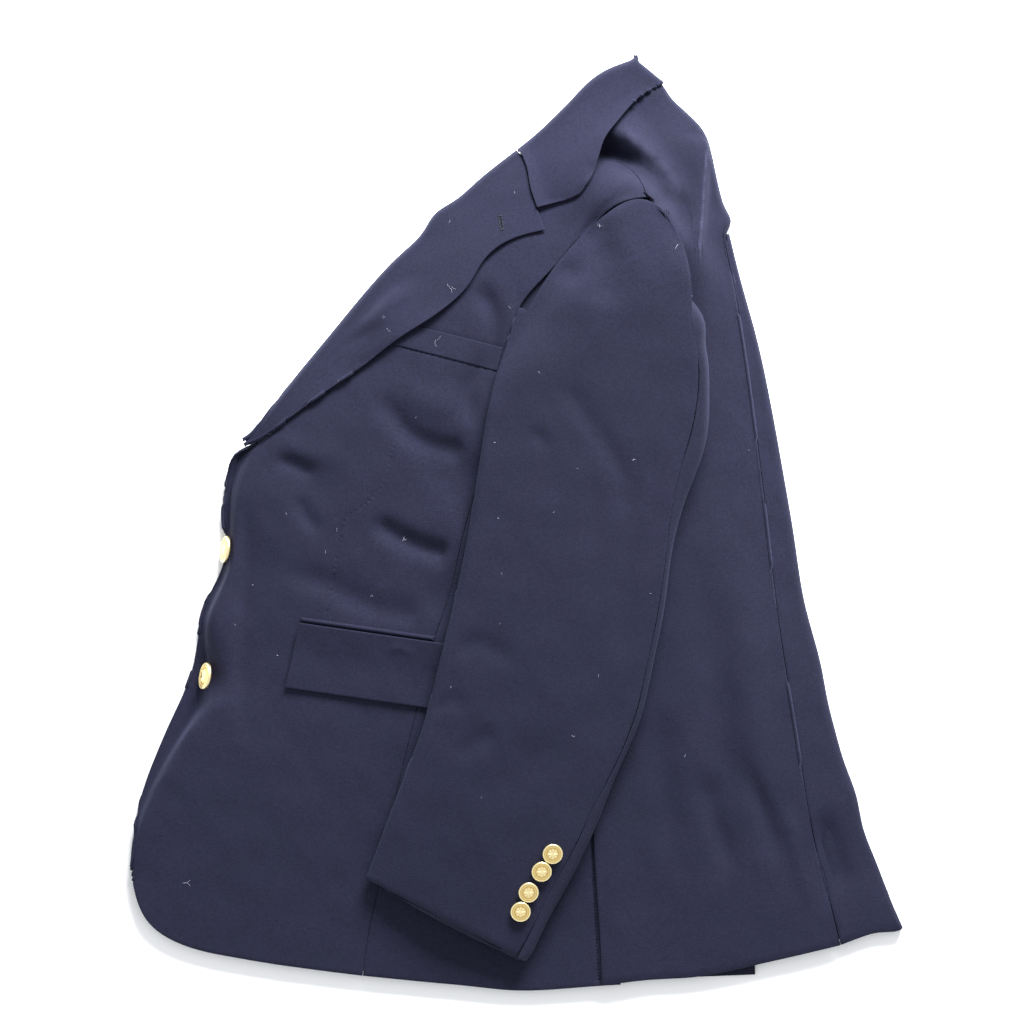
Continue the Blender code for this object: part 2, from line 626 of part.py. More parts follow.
def grid_into(bm, points, splits=None):
    """A grid primitive whose vertices go to the given points, row by row, in triangles."""
    rows, columns = points.shape[:2]
    splits = short_diagonals(points) if splits is None else splits
    made = bmesh.ops.create_grid(bm, x_segments=columns - 1, y_segments=rows - 1, size=1.0)
    places = {}
    for vert in made["verts"]:
        column = round((vert.co.x + 1) / 2 * (columns - 1))
        row = round((vert.co.y + 1) / 2 * (rows - 1))
        places[vert] = (row, column)
        vert.co = Vector(points[row, column]) * MM
    groups = {"FIXED": [], "ALTERNATE": []}
    for face in [face for face in bm.faces if face.verts[0] in places]:
        spots = [places[vert] for vert in face.verts]
        row, column = min(spots)
        starts_main = spots[0] in ((row, column), (row + 1, column + 1))
        groups["FIXED" if starts_main == splits[row, column] else "ALTERNATE"].append(face)
    for method, faces in groups.items():
        bmesh.ops.triangulate(bm, faces=faces, quad_method=method)


def widened(points, margin):
    """A grid with one more row and column on each side, carried on level by the margin."""
    for axis in (0, 1):
        points = np.moveaxis(points, axis, 0)
        ends = []
        for last, beside in ((0, 1), (-1, -2)):
            way = points[last, :, :2] - points[beside, :, :2]
            end = points[last].copy()
            end[:, :2] += way / np.linalg.norm(way, axis=1, keepdims=True) * margin
            ends.append(end)
        points = np.moveaxis(np.concatenate([ends[:1], points, ends[1:]]), 0, axis)
    return points


def cloth_panel(name, points, thickness, stuff, group, margin=0.0):
    """A panel of cloth: its outer face as a grid, thickened inwards, and laid in place."""
    bm = bmesh.new()
    grid_into(bm, points)
    piece = finish_mesh(name, bm, stuff, group)
    wall = piece.modifiers.new("cloth", "SOLIDIFY")
    wall.thickness = thickness * MM
    wall.offset = -1.0
    LAID.add(widened(points, margin) if margin else points)
    return piece


def border(points):
    """A grid's edge points in one loop."""
    return np.concatenate([points[0, :-1], points[:-1, -1], points[-1, :0:-1], points[:0:-1, 0]])


def stuffed_solid(name, top, rings, bottom, stuff, group, bottom_splits=None):
    """A closed solid: a top grid, a band of rings round it, and a flat or gridded bottom."""
    bm = bmesh.new()
    grid_into(bm, top)
    loops = [border(top)] + list(rings)
    if bottom is not None:
        loops.append(border(bottom))
        grid_into(bm, bottom, bottom_splits)
    band = np.stack(loops[::-1])
    grid_into(bm, np.concatenate([band, band[:, :1]], axis=1))
    bmesh.ops.remove_doubles(bm, verts=bm.verts, dist=0.00001)
    if bottom is None:
        rim = [edge for edge in bm.edges if edge.is_boundary]
        bmesh.ops.holes_fill(bm, edges=rim, sides=0)
    bmesh.ops.recalc_face_normals(bm, faces=bm.faces)
    return finish_mesh(name, bm, stuff, group)


def cloth_shell(name, points, normals, stuff, group):
    """A body panel whose inner face follows the pile, so that walls stay apart at the seams."""
    splits = short_diagonals(points)
    inner = points - normals * CLOTH
    piece = stuffed_solid(name, points, [], inner, stuff, group, splits)
    LAID.add(points, splits)
    UNDERSIDE.add(inner, splits)
    return piece


def patch_at(left, right, bottom, top, shares):
    """Plan points of a panel at its own shares across each row, between four edge curves."""
    v = even(len(left) - 1)[:, None, None]
    u = np.asarray(shares)[..., None]
    fine = even(CURVE_SAMPLES)
    left, right = np.asarray(left)[:, None, :], np.asarray(right)[:, None, :]
    plan = (1 - u) * left + u * right
    for path, weight in ((bottom, 1 - v), (top, v)):
        curve = along(path, fine)
        place = np.stack([np.interp(shares, fine, curve[:, k]) for k in (0, 1)], axis=-1)
        plan = plan + weight * (place - (1 - u) * curve[0] - u * curve[-1])
    return plan


def front_panel(stuff, group):
    """The left front, from its cutaway edge over the crest to the side and the armhole."""
    left = chain(along(FRONT_EDGE, even(SIDE_ROWS)), along(UNDER_LAPEL, even(ARM_ROWS)))
    seam = along(FRONT_SEAM, even(SIDE_ROWS))
    right = shifted(chain(seam, along(FRONT_ARMHOLE, even(ARM_ROWS))), -1, SEAM_GAP / 2)
    length = np.linalg.norm(right - left, axis=1)
    crest = spline(CREST_LINE[:, 0], CREST_LINE[:, 1], left[:, 1]) - left[:, 0]
    crest = np.clip(crest, *CREST_REACH)
    crest[SIDE_ROWS + 1:] = LAPEL_CREST
    shares = []
    for reach, whole in zip(crest, length):
        squeeze = min(1.0, reach / FACE_REACH)
        face = [reach + step * squeeze for step in FACE_STEPS]
        body = np.linspace(face[-1], whole, FRONT_COLUMNS + 1)[1:]
        shares.append(np.r_[0, face[0] / 2, face, body] / whole)
    shoulder = shifted(along(SHOULDER[::-1], even(SHOULDER_ROWS)), 1, SEAM_GAP / 2)
    neck = along(FRONT_NECK, even(len(shares[0]) - SHOULDER_ROWS - 1))
    top = np.vstack([neck[:-1], shoulder])
    reached = np.r_[0, np.cumsum(np.linalg.norm(np.diff(top, axis=0), axis=1))]
    climb = smooth((np.arange(len(left)) - SIDE_ROWS) / ARM_ROWS)[:, None]
    shares = np.array(shares) * (1 - climb) + reached / reached[-1] * climb
    plan = patch_at(left, right, FRONT_HEM, top, shares)
    plan[-1] = top
    points = with_height(plan, pile_height(plan[..., 0], plan[..., 1]))
    cloth_shell("left_front", points, face_normals(plan, pile_height), stuff, group)


def side_panel(stuff, group):
    """The side panel, which runs under the back at the side vent."""
    left = shifted(along(FRONT_SEAM, even(SIDE_ROWS)), 1, SEAM_GAP / 2)
    underlap = np.where(np.arange(SIDE_ROWS + 1) < VENT_ROWS, VENT_UNDERLAP, -SEAM_GAP / 2)
    right = shifted(along(BACK_SEAM, even(SIDE_ROWS)), 1, underlap)
    hem = chain(SIDE_HEM, (SIDE_HEM[-1], (SIDE_HEM[-1][0] + VENT_UNDERLAP, SIDE_HEM[-1][1] + 1)))
    plan = patch(left, right, along(hem, even(SIDE_COLUMNS)), along(UNDERARM, even(SIDE_COLUMNS)))
    points = with_height(plan, pile_height(plan[..., 0], plan[..., 1]))
    cloth_shell("left_side_panel", points, face_normals(plan, pile_height), stuff, group)


def back_height(x, y):
    """The pile's height, and off it where the back laps over the side panel at the side vent."""
    seam = along(BACK_SEAM, even(SEAM_SAMPLES))
    inside = x - np.interp(y, seam[:, 1], seam[:, 0])
    near = 1 - smooth((inside - VENT_UNDERLAP - VENT_MARGIN) / VENT_RUN)
    return pile_height(x, y) + VENT_STEP * near * smooth((VENT_TOP - y) / VENT_RUN)


def back_panel(stuff, group):
    """The left back: hem to shoulder and neck, rolled over the fold above the centre seam."""
    armhole = along(BACK_ARMHOLE, 1 - (1 - even(ARM_ROWS)) ** ARM_CROWD)
    left = chain(along(BACK_SEAM, even(SIDE_ROWS)), armhole, along(SHOULDER, even(SHOULDER_ROWS)))
    left = shifted(left, 1, SEAM_GAP / 2)
    seam = shifted(along(CENTRE_BACK, even(STRIP_ROWS)), -1, SEAM_GAP / 2)
    fold = along(NECK_FOLD, even(NECK_ROWS))[1:]
    width = back_roll_width(fold)
    right = np.vstack([shifted(seam, -1, SEAM_BAND), shifted(fold, -1, width)])
    bottom = along(BACK_HEM, even(BACK_COLUMNS))
    bottom += (right[0] - bottom[-1]) * even(BACK_COLUMNS)[:, None]
    top = along(BACK_NECK, even(BACK_COLUMNS))
    top += (right[-1] - top[-1]) * even(BACK_COLUMNS)[:, None]
    plan = patch(left, right, bottom, top, BACK_POWER)
    crowd = np.interp(np.arange(len(left)), (SIDE_ROWS, SIDE_ROWS + ARM_ROWS), (1.0, BACK_CROWD))
    spaced = even(BACK_COLUMNS)[None, :] ** crowd[:, None] * BACK_COLUMNS
    index = np.minimum(spaced.astype(int), BACK_COLUMNS - 1)[..., None]
    step = spaced[..., None] - index
    plan = (np.take_along_axis(plan, index, axis=1) * (1 - step)
            + np.take_along_axis(plan, index + 1, axis=1) * step)
    body = with_height(plan, back_height(plan[..., 0], plan[..., 1]))
    band = seam[:, None, :] + (right[: len(seam)] - seam)[:, None, :] * BAND_SHARES[None, :, None]
    crest = pile_height(right[len(seam):, 0], right[len(seam):, 1])
    roll = roll_points(fold, inward(fold, -1), width, crest, FLOOR_GAP)[:, ::-1]
    rolled_normals = roll_normals(inward(fold, -1), width, crest, FLOOR_GAP)[:, ::-1]
    beside = np.concatenate([with_height(band, pile_height(band[..., 0], band[..., 1])), roll])
    beside_normals = np.concatenate([face_normals(band, pile_height), rolled_normals])
    points = np.concatenate([body, beside], axis=1)
    normals = np.concatenate([face_normals(plan, back_height), beside_normals], axis=1)
    cloth_shell("left_back", points, normals, stuff, group)


def right_back_panel(stuff, group):
    """The strip of the right back that comes over the back fold, past the centre seam."""
    seam = shifted(along(CENTRE_BACK, even(STRIP_ROWS)), 1, SEAM_GAP / 2)
    fold = along(BACK_FOLD, even(STRIP_ROWS))
    width = np.minimum(back_roll_width(fold), NARROW_STRIP * np.linalg.norm(fold - seam, axis=1))
    crest_line = shifted(fold, -1, width)
    plan = patch(seam, crest_line, np.linspace(seam[0], crest_line[0], 4),
                 np.linspace(seam[-1], crest_line[-1], 4))
    body = with_height(plan, pile_height(plan[..., 0], plan[..., 1]))
    crest = pile_height(crest_line[:, 0], crest_line[:, 1])
    roll = roll_points(fold, inward(fold, -1), width, crest, FLOOR_GAP)[:, ::-1]
    rolled_normals = roll_normals(inward(fold, -1), width, crest, FLOOR_GAP)[:, ::-1]
    normals = np.concatenate([face_normals(plan, pile_height), rolled_normals], axis=1)
    cloth_shell("right_back", np.concatenate([body, roll], axis=1), normals, stuff, group)


def back_roll_width(edge):
    """Width of the rolled back fold at each point of it."""
    rows = np.array(BACK_ROLL, float)
    return np.interp(np.asarray(edge)[:, 1], rows[:, 0], rows[:, 1])


def inset_edge(edge, side, distance, start, end):
    """An outline edge moved inwards, its ends drawn in for the two edges that it meets."""
    reached = np.r_[0, np.cumsum(np.linalg.norm(np.diff(edge, axis=0), axis=1))]
    drawn = start + (reached[-1] - start - end) * reached / reached[-1]
    return shifted(along(edge, drawn / reached[-1]), side, distance)


def hidden_layers(stuff, group):
    """The right half, folded under: one rounded solid with a flat base and a layered hem."""
    crest_y = np.linspace(*HIDDEN_FRONT, HIDDEN_FRONT_ROWS + 1)
    crest_x = spline(CREST_LINE[:, 0], CREST_LINE[:, 1], crest_y)
    step_in = np.interp(crest_y, HIDDEN_TAIL, (1, FRONT_INSET))
    behind = np.stack([crest_x + step_in, crest_y], axis=1)
    roll = along(ROLL_EDGE, even(HIDDEN_LAPEL_ROWS))
    roll = shifted(roll, 1, np.interp(roll[:, 1], *HIDDEN_ROLL_SHIFT))
    left = chain(np.vstack([behind, roll]), along(COLLAR_FOLD, even(HIDDEN_LAPEL_ROWS)))
    right_rows = len(left) - 1 - NECK_ROWS
    right = chain(along(BACK_FOLD, even(right_rows)), along(NECK_FOLD, even(NECK_ROWS)))
    top = along(COLLAR_END, even(HIDDEN_COLUMNS))
    end = along(LOWER_HEM_END, even(HEM_END_COLUMNS))
    bottom, inner_hem = (
        np.vstack([along(path, even(len(top) - len(end) - 1)), end]) for path in (LOWER_HEM, INNER_HEM)
    )
    corner = smooth((left[:, 1] - COLLAR_CORNER[0]) / (COLLAR_CORNER[1] - COLLAR_CORNER[0]))
    left_cover = np.interp(left[:, 1], HIDDEN_TURN, (HIDDEN_FRONT_COVER, COVER))
    left_cover = left_cover + COLLAR_CORNER_COVER * corner
    left_roll = np.interp(left[:, 1], HIDDEN_TURN, (HIDDEN_FRONT_ROLL, TURNED_ROLL))
    crossing = np.exp(-(((right[:, 1] - SEAM_CROSSING) / SEAM_CROSSING_REACH) ** 2))
    neck_end = smooth((right[:, 1] - NECK_END[0]) / (NECK_END[1] - NECK_END[0]))
    back_cover = COVER + SEAM_CROSSING_COVER * crossing + (COLLAR_END_COVER - COVER) * neck_end
    back_roll = back_roll_width(right) * (1 - neck_end) + TURNED_ROLL * neck_end
    hem_in, collar_in = HEM_COVER + HEM_ROLL, COLLAR_END_COVER + TURNED_ROLL
    left_in, back_in = left_cover + left_roll, back_cover + back_roll
    whole_in = np.r_[back_in, np.full(len(top) - 1, collar_in)]
    whole = inset_edge(chain(right, top[::-1]), -1, whole_in, hem_in, left_in[-1])
    edges = (
        # place, outline, cover, roll, inner line; the back fold runs on into the collar's end
        (np.s_[0, :], bottom, HEM_COVER, HEM_ROLL,
         inset_edge(inner_hem, -1, hem_in, left_in[0], back_in[0])),
        (np.s_[-1, :], top, COLLAR_END_COVER, TURNED_ROLL, whole[len(right) - 1:][::-1]),
        (np.s_[:, -1], right, back_cover, back_roll, whole[: len(right)]),
        (np.s_[:, 0], left, left_cover, left_roll, inset_edge(left, 1, left_in, hem_in, collar_in)),
    )
    shape = (len(left), len(top))
    outline, inner = np.zeros((*shape, 2)), np.zeros((*shape, 2))
    cover, width, hem = np.zeros(shape), np.zeros(shape), np.zeros(shape)
    times = np.zeros((*shape, 1))
    for place, edge, inset, roll_width, inner_line in edges:
        outline[place] = edge
        cover[place] = inset
        width[place] = roll_width
        inner[place] += inner_line
        times[place] += 1
    hem[0, :] = 1.0
    inner /= np.maximum(times, 1)
    plan = patch(inner[:, 0], inner[:, -1], inner[0], inner[-1], HIDDEN_POWER)
    top_face = with_height(plan, pile_height(plan[..., 0], plan[..., 1]) - CLOTH - HIDDEN_GAP)
    top_face = kept_clear(top_face, HIDDEN_GAP, -1, UNDERSIDE)
    foot, rim, crest = border(outline), border(plan), border(top_face)[:, 2:]
    cover, width, hem = (border(a)[:, None] for a in (cover, width, hem))
    middle = ROLL_MIDDLE * crest + FLOOR_GAP
    rings = []
    for angle, depth, share in RIM_RINGS:
        turn = math.radians(angle)
        reach = (width if angle > 0 else np.minimum(width, ROLL_UNDER)) * (1 - math.cos(turn))
        span = (crest - middle) if angle > 0 else middle
        fold_place, fold_height = (cover + reach) / (cover + width), middle + span * math.sin(turn)
        hem_place, hem_height = (cover + depth) / (cover + width), crest * share
        place = np.where(hem > 0, hem_place, fold_place)
        height = np.where(hem > 0, hem_height, fold_height)
        ring = np.concatenate([foot + (rim - foot) * place, height], axis=1)
        if angle > 0:
            ring[:, 2] = np.minimum(ring[:, 2], UNDERSIDE.under(ring[:, 0], ring[:, 1], RIM_GAP))
        rings.append(ring)
    base_reach = np.where(hem > 0, HEM_FLOOR, np.minimum(width, ROLL_UNDER))
    place = (cover + base_reach) / (cover + width)
    rings.append(np.concatenate([foot + (rim - foot) * place, np.zeros_like(crest)], axis=1))
    stuffed_solid("folded_layers", top_face, rings, None, stuff, group)


def pocket_patch(corner, along_edge, down_edge, length, depth, columns, rows):
    """Plan points of a straight-edged piece from its corner and two edge directions."""
    u = np.linspace(0, length, columns + 1)[None, :, None]
    v = np.linspace(depth, 0, rows + 1)[:, None, None]
    return np.array(corner, float) + u * np.array(along_edge) + v * np.array(down_edge)


def pocket_pieces(flap_stuff, group):
    """Hip pocket jet and flap, and the breast welt, laid on the front."""
    down, across_edge = np.array(FLAP_DOWN), np.array(FLAP_ALONG)
    pieces = (
        ("hip_pocket_jet", np.array(FLAP_CORNER) - down * (JET_WIDTH + SEAM_GAP), across_edge, down,
         FLAP_LENGTH, JET_WIDTH, 10, 1, JET_CLOTH),
        ("hip_pocket_flap", FLAP_CORNER, across_edge, down, FLAP_LENGTH, FLAP_DEPTH, 10, 4, TURNED_CLOTH),
        ("breast_welt", np.array(WELT_CORNER) + np.array(WELT_UP) * WELT_HEIGHT, WELT_ALONG,
         -np.array(WELT_UP), WELT_LENGTH, WELT_HEIGHT, 8, 2, JET_CLOTH),
    )
    for name, corner, side, depth_way, length, depth, columns, rows, thickness in pieces:
        plan = pocket_patch(corner, side, depth_way, length, depth, columns, rows)
        height = LAID.over(plan[..., 0], plan[..., 1], LAY_GAP + thickness)
        points = kept_clear(with_height(plan, height), LAY_GAP + thickness)
        cloth_panel(name, points, thickness, flap_stuff, group, LAID_MARGIN)


def fold_floor(edge, way, clearance):
    """Height that a rolled fold stays above, as high as what lies under it near each row."""
    shares = np.linspace(0, len(edge) - 1, FINE * (len(edge) - 1) + 1)
    rows = np.arange(len(edge))
    fine = np.stack([np.interp(shares, rows, edge[:, k]) for k in (0, 1)], axis=1)
    ways = np.stack([np.interp(shares, rows, way[:, k]) for k in (0, 1)], axis=1)
    found = [LAID.over(*(fine + ways * reach).T, clearance) for reach in (0, ROLL_UNDER / 2, ROLL_UNDER)]
    padded = np.pad(np.max(found, axis=0), FINE, mode="edge")
    return np.lib.stride_tricks.sliding_window_view(padded, 2 * FINE + 1).max(axis=1)[::FINE]


def turned_fold():
    """Fold line and inward directions of the lapel and of the collar, which meet at the gorge."""
    lapel_fold = along(ROLL_EDGE, LAPEL_START + (1 - LAPEL_START) * even(LAPEL_ROWS))
    collar_fold = along(COLLAR_FOLD, even(COLLAR_ROWS))
    way = inward(chain(lapel_fold, collar_fold), 1)
    run = np.array((-way[LAPEL_ROWS, 1], way[LAPEL_ROWS, 0])) * TURN_GAP / 2
    lapel_fold[-1] -= run
    collar_fold[0] += run
    return lapel_fold, way[: LAPEL_ROWS + 1], collar_fold, way[LAPEL_ROWS:]


def lapel(stuff, group):
    """The facing turned back as the lapel, rolled over the front fold."""
    fold, way, _, _ = turned_fold()
    edge = along(LAPEL_EDGE, LAPEL_START + (1 - LAPEL_START) * even(LAPEL_ROWS))
    width = np.minimum(TURNED_ROLL, NARROW_LAPEL * np.linalg.norm(edge - fold, axis=1))
    flat = 1 - smooth(np.arange(LAPEL_ROWS + 1) / LAPEL_FLAT_ROWS)
    crest_line = fold + way * width[:, None]
    gorge = shifted(along(GORGE, even(GORGE_COLUMNS)), 1, SEAM_GAP / 2)[1:]
    top = chain(gorge, along(LAPEL_NOTCH, even(NOTCH_COLUMNS)))
    top[0] = crest_line[-1]
    plan = patch(crest_line, edge, np.linspace(crest_line[0], edge[0], len(top)), top)
    lift = LAPEL_LIFT * even(len(top) - 1)[None, :] ** LAPEL_LIFT_POWER
    lift = lift * fade(even(LAPEL_ROWS), *LAPEL_LIFT_ENDS)[:, None]
    height = LAID.over(plan[..., 0], plan[..., 1], LAY_GAP + TURNED_CLOTH) + lift
    body = kept_clear(with_height(plan, height), LAY_GAP + TURNED_CLOTH)
    tail_height = body[..., 2].max(axis=1)
    body[..., 2] += (tail_height[:, None] - body[..., 2]) * flat[:, None]
    roll = roll_points(fold, way, width, body[:, 0, 2], FLOOR_GAP, flat, lambda spread: tail_height)
    cloth_panel("left_lapel", np.concatenate([roll, body], axis=1), TURNED_CLOTH, stuff, group)


def collar(stuff, group):
    """The collar's fall: rolled over its fold, notched, and turned down at the centre back."""
    stations = even(COLLAR_ROWS)
    pulled = stations[:, None] ** COLLAR_PULL_POWER * np.array(COLLAR_END_WAY) * COLLAR_END_DEPTH
    _, _, fold, way = turned_fold()
    fold = fold - pulled
    edge = along(COLLAR_EDGE, stations) - pulled
    crest_line = fold + way * TURNED_ROLL
    gorge = shifted(along(GORGE, even(GORGE_COLUMNS)), -1, SEAM_GAP / 2)[1:]
    bottom = chain(gorge, along(COLLAR_NOTCH, even(NOTCH_COLUMNS)))
    bottom[0] = crest_line[0]
    plan = patch(crest_line, edge, bottom, np.linspace(crest_line[-1], edge[-1], len(bottom)))
    laid = LAID.over(plan[..., 0], plan[..., 1], LAY_GAP + TURNED_CLOTH)
    edge_height = np.interp(stations, even(len(COLLAR_EDGE_HEIGHTS) - 1), COLLAR_EDGE_HEIGHTS)[:, None]
    bridge = laid[:, :1] + (edge_height - laid[:, :1]) * even(len(bottom) - 1)[None, :]
    height = laid + np.maximum(bridge - laid, 0) * smooth(stations / COLLAR_BRIDGE_START)[:, None]
    body = kept_clear(with_height(plan, height), LAY_GAP + TURNED_CLOTH)
    roll = roll_points(fold, way, TURNED_ROLL, body[:, 0, 2], FLOOR_GAP)
    points = np.concatenate([roll, body], axis=1)
    end_rows = []
    for reach, share in COLLAR_END_RINGS:
        row = points[-1].copy()
        row[:, :2] += np.array(COLLAR_END_WAY) * reach
        row[:, 2] = FLOOR_GAP + (row[:, 2] - FLOOR_GAP) * share
        end_rows.append(row)
    cloth_panel("collar", np.concatenate([points, end_rows]), TURNED_CLOTH, stuff, group)


def sleeve(stuff, shaded, group):
    """The left sleeve: a stuffed under sleeve and the top sleeve that lies over it."""
    stations = even(SLEEVE_ROWS)
    front, rear, seam = (along(path, stations) for path in (SLEEVE_FRONT, SLEEVE_REAR, ELBOW_SEAM))
    rear_width = np.minimum(SLEEVE_ROLL, NARROW_REAR * np.linalg.norm(rear - seam, axis=1))
    front_crest, rear_crest = shifted(front, 1, SLEEVE_ROLL), shifted(rear, -1, rear_width)
    cuff = (front_crest[0], (front_crest[0] + rear_crest[0]) / 2, rear_crest[0])
    head = (front_crest[-1], *SLEEVE_HEAD[1:-1], rear_crest[-1])
    length = np.linalg.norm(rear_crest - front_crest, axis=1)[:, None]

    def plan_at(shares):
        return patch_at(front_crest, rear_crest, cuff, head, shares)

    def height_at(shares, plan):
        heights = spline(SLEEVE_ROWS_TABLE[:, 0], SLEEVE_ROWS_TABLE[:, 1:], stations)[:, None, :]
        heights = np.broadcast_to(heights, (*shares.shape, len(SLEEVE_SHARES)))
        height = across(SLEEVE_SHARES, heights, shares)
        for fold in SLEEVE_FOLDS:
            height = height + fold_rise(plan[..., 0], plan[..., 1], *fold)
        rest = LAID.over(plan[..., 0], plan[..., 1], LAY_GAP + CLOTH)
        sinks = smooth(1 - (1 - stations) / HEAD_BLEND)[:, None]
        return np.maximum(height * (1 - sinks) + rest * sinks, rest)

    fine = np.tile(even(CURVE_SAMPLES), (len(stations), 1))
    elbow = along(ELBOW_SEAM, even(CURVE_SAMPLES))
    distance = np.linalg.norm(plan_at(fine)[:, :, None, :] - elbow, axis=-1)
    seam_share = np.take_along_axis(fine, np.argmin(distance.min(axis=2), axis=1)[:, None], axis=1)

    shares = (seam_share - SEAM_GAP / 2 / length) * even(TOP_SLEEVE_COLUMNS)
    plan = plan_at(shares)
    body = kept_clear(with_height(plan, height_at(shares, plan)), CLOTH + LAY_GAP)
    floor = fold_floor(front, inward(front, 1), FLOOR_GAP)
    flat = 1 - smooth((1 - stations) / SLEEVE_FLAT)
    roll = roll_points(front, inward(front, 1), SLEEVE_ROLL, body[:, 0, 2], floor, flat,
                       lambda spread: LAID.over(spread[:, 0], spread[:, 1], LAY_GAP + CLOTH))
    top_points = np.concatenate([roll, body], axis=1)
    top_sleeve = LaidPieces(lambda x, y: np.full(x.shape, np.inf))
    top_sleeve.add(body)

    used = slice(0, int(UNDER_SLEEVE_SHARE * SLEEVE_ROWS) + 1)
    inner_shares = (seam_share + STEP_GAP / length) * even(UNDER_SLEEVE_COLUMNS)
    outer_shares = seam_share + 2 * STEP_GAP / length
    outer_shares = outer_shares + (1 - outer_shares) * np.array((0, 0.5, 1))
    shares = np.concatenate([inner_shares, outer_shares], axis=1)
    plan = plan_at(shares)
    flush = height_at(shares, plan)[used]
    plan = plan[used]
    top = with_height(plan, flush)
    inner = slice(0, UNDER_SLEEVE_COLUMNS + 1)
    top[:, inner, 2] -= CLOTH + LAY_GAP
    top[:, inner] = kept_clear(top[:, inner], CLOTH + LAY_GAP, -1, top_sleeve)
    plan_below = plan.copy()
    under = ROLL_UNDER * (1 - math.cos(math.radians(ROLL_ANGLES[0])))
    plan_below[:, -1] = shifted(rear, -1, np.minimum(rear_width, under))[used]
    bottom = with_height(plan_below, LAID.over(plan_below[..., 0], plan_below[..., 1], LAY_GAP))
    bottom = kept_clear(bottom, LAY_GAP)
    rear_floor = fold_floor(rear, inward(rear, -1), FLOOR_GAP)[used]
    rear_roll = roll_points(rear[used], inward(rear, -1)[used], rear_width[used], top[:, -1, 2], rear_floor)
    rings = []
    for index, angle in list(enumerate(ROLL_ANGLES))[::-1]:
        share = (math.sin(math.radians(angle)) + 1) / 2
        ring = with_height(plan, bottom[..., 2] + (top[..., 2] - bottom[..., 2]) * share)
        ring[:, -1] = rear_roll[:, index]
        rings.append(border(ring))
    stuffed_solid("left_under_sleeve", top, rings, bottom, shaded, group)
    LAID.add(top)
    cloth_panel("left_top_sleeve", top_points, CLOTH, stuff, group)


def turned_button(name, place, axis, width, stuff, group):
    """A domed metal button turned from its profile, its back at the given place."""
    bm = bmesh.new()
    verts = [bm.verts.new((reach * width * MM, 0, rise * width * MM)) for reach, rise in BUTTON_PROFILE]
    for upper, lower in zip(verts, verts[1:]):
        bm.edges.new((upper, lower))
    piece = finish_mesh(name, bm, stuff, group)
    turn = piece.modifiers.new("turn", "SCREW")
    turn.steps = BUTTON_SIDES
    turn.render_steps = BUTTON_SIDES
    turn.use_merge_vertices = True
    turn.merge_threshold = 0.0001
    piece.location = Vector(place) * MM
    piece.rotation_euler = Vector(axis).to_track_quat("Z", "Y").to_euler()
    return piece


def buttons(stuff, group):
    """Four cuff buttons square to the sleeve, and two front buttons on the steep front face."""
    for number, (x, y) in enumerate(CUFF_BUTTONS, start=1):
        slope_x = (LAID.top(x + BUTTON_REACH, y) - LAID.top(x - BUTTON_REACH, y)) / (2 * BUTTON_REACH)
        slope_y = (LAID.top(x, y + BUTTON_REACH) - LAID.top(x, y - BUTTON_REACH)) / (2 * BUTTON_REACH)
        place = (x, y, LAID.top(x, y) + BUTTON_GAP)
        turned_button(f"cuff_button_{number}", place, (-slope_x, -slope_y, 1), CUFF_BUTTON_WIDTH,
                      stuff, group)
    for number, (x, y, z, to_front, to_collar) in enumerate(FRONT_BUTTONS, start=1):
        across_lean, up_lean = math.radians(to_front), math.radians(to_collar)
        axis = (-math.sin(across_lean), math.sin(up_lean), math.cos(across_lean))
        turned_button(f"front_button_{number}", (x, y, z), axis, FRONT_BUTTON_WIDTH, stuff, group)


def main():
    """Remove what is in the scene and lay the blazer, piece on piece."""
    for old in list(bpy.data.objects):
        bpy.data.objects.remove(old)
    group = bpy.data.collections.new("single_breasted_blazer")
    bpy.context.scene.collection.children.link(group)
    navy = material("navy_wool", NAVY, 0.0, 0.85)
    navy_dark = material("navy_wool_shaded", NAVY_DARK, 0.0, 0.9)
    gold = material("gold_metal", GOLD, 1.0, 0.25)
    front_panel(navy, group)
    side_panel(navy, group)
    back_panel(navy, group)
    right_back_panel(navy, group)
    hidden_layers(navy_dark, group)
    pocket_pieces(navy, group)
    lapel(navy, group)
    collar(navy, group)
    sleeve(navy, navy_dark, group)
    buttons(gold, group)


main()
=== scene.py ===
import math

import bmesh
import bpy
import numpy as np
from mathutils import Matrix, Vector, kdtree
from mathutils.bvhtree import BVHTree


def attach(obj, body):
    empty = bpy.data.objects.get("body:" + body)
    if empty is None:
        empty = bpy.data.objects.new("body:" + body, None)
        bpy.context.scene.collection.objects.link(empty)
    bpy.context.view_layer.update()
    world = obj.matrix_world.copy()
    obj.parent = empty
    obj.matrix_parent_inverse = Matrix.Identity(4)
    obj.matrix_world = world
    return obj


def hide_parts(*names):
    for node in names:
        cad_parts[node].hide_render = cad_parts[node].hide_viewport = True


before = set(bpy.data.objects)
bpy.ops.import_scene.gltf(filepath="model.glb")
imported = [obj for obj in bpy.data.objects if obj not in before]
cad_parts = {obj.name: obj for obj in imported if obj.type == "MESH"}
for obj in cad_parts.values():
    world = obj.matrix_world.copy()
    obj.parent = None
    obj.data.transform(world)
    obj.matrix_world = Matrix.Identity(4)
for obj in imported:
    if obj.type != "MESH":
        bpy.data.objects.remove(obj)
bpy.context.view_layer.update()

bl_info = {
    "name": "Folded blazer",
    "version": (1, 0, 0),
    "blender": (4, 5, 0),
    "location": "3D View > Sidebar > Blazer",
    "description": "Makes a navy wool blazer, folded lengthwise and laid on its side",
    "category": "Add Mesh",
}

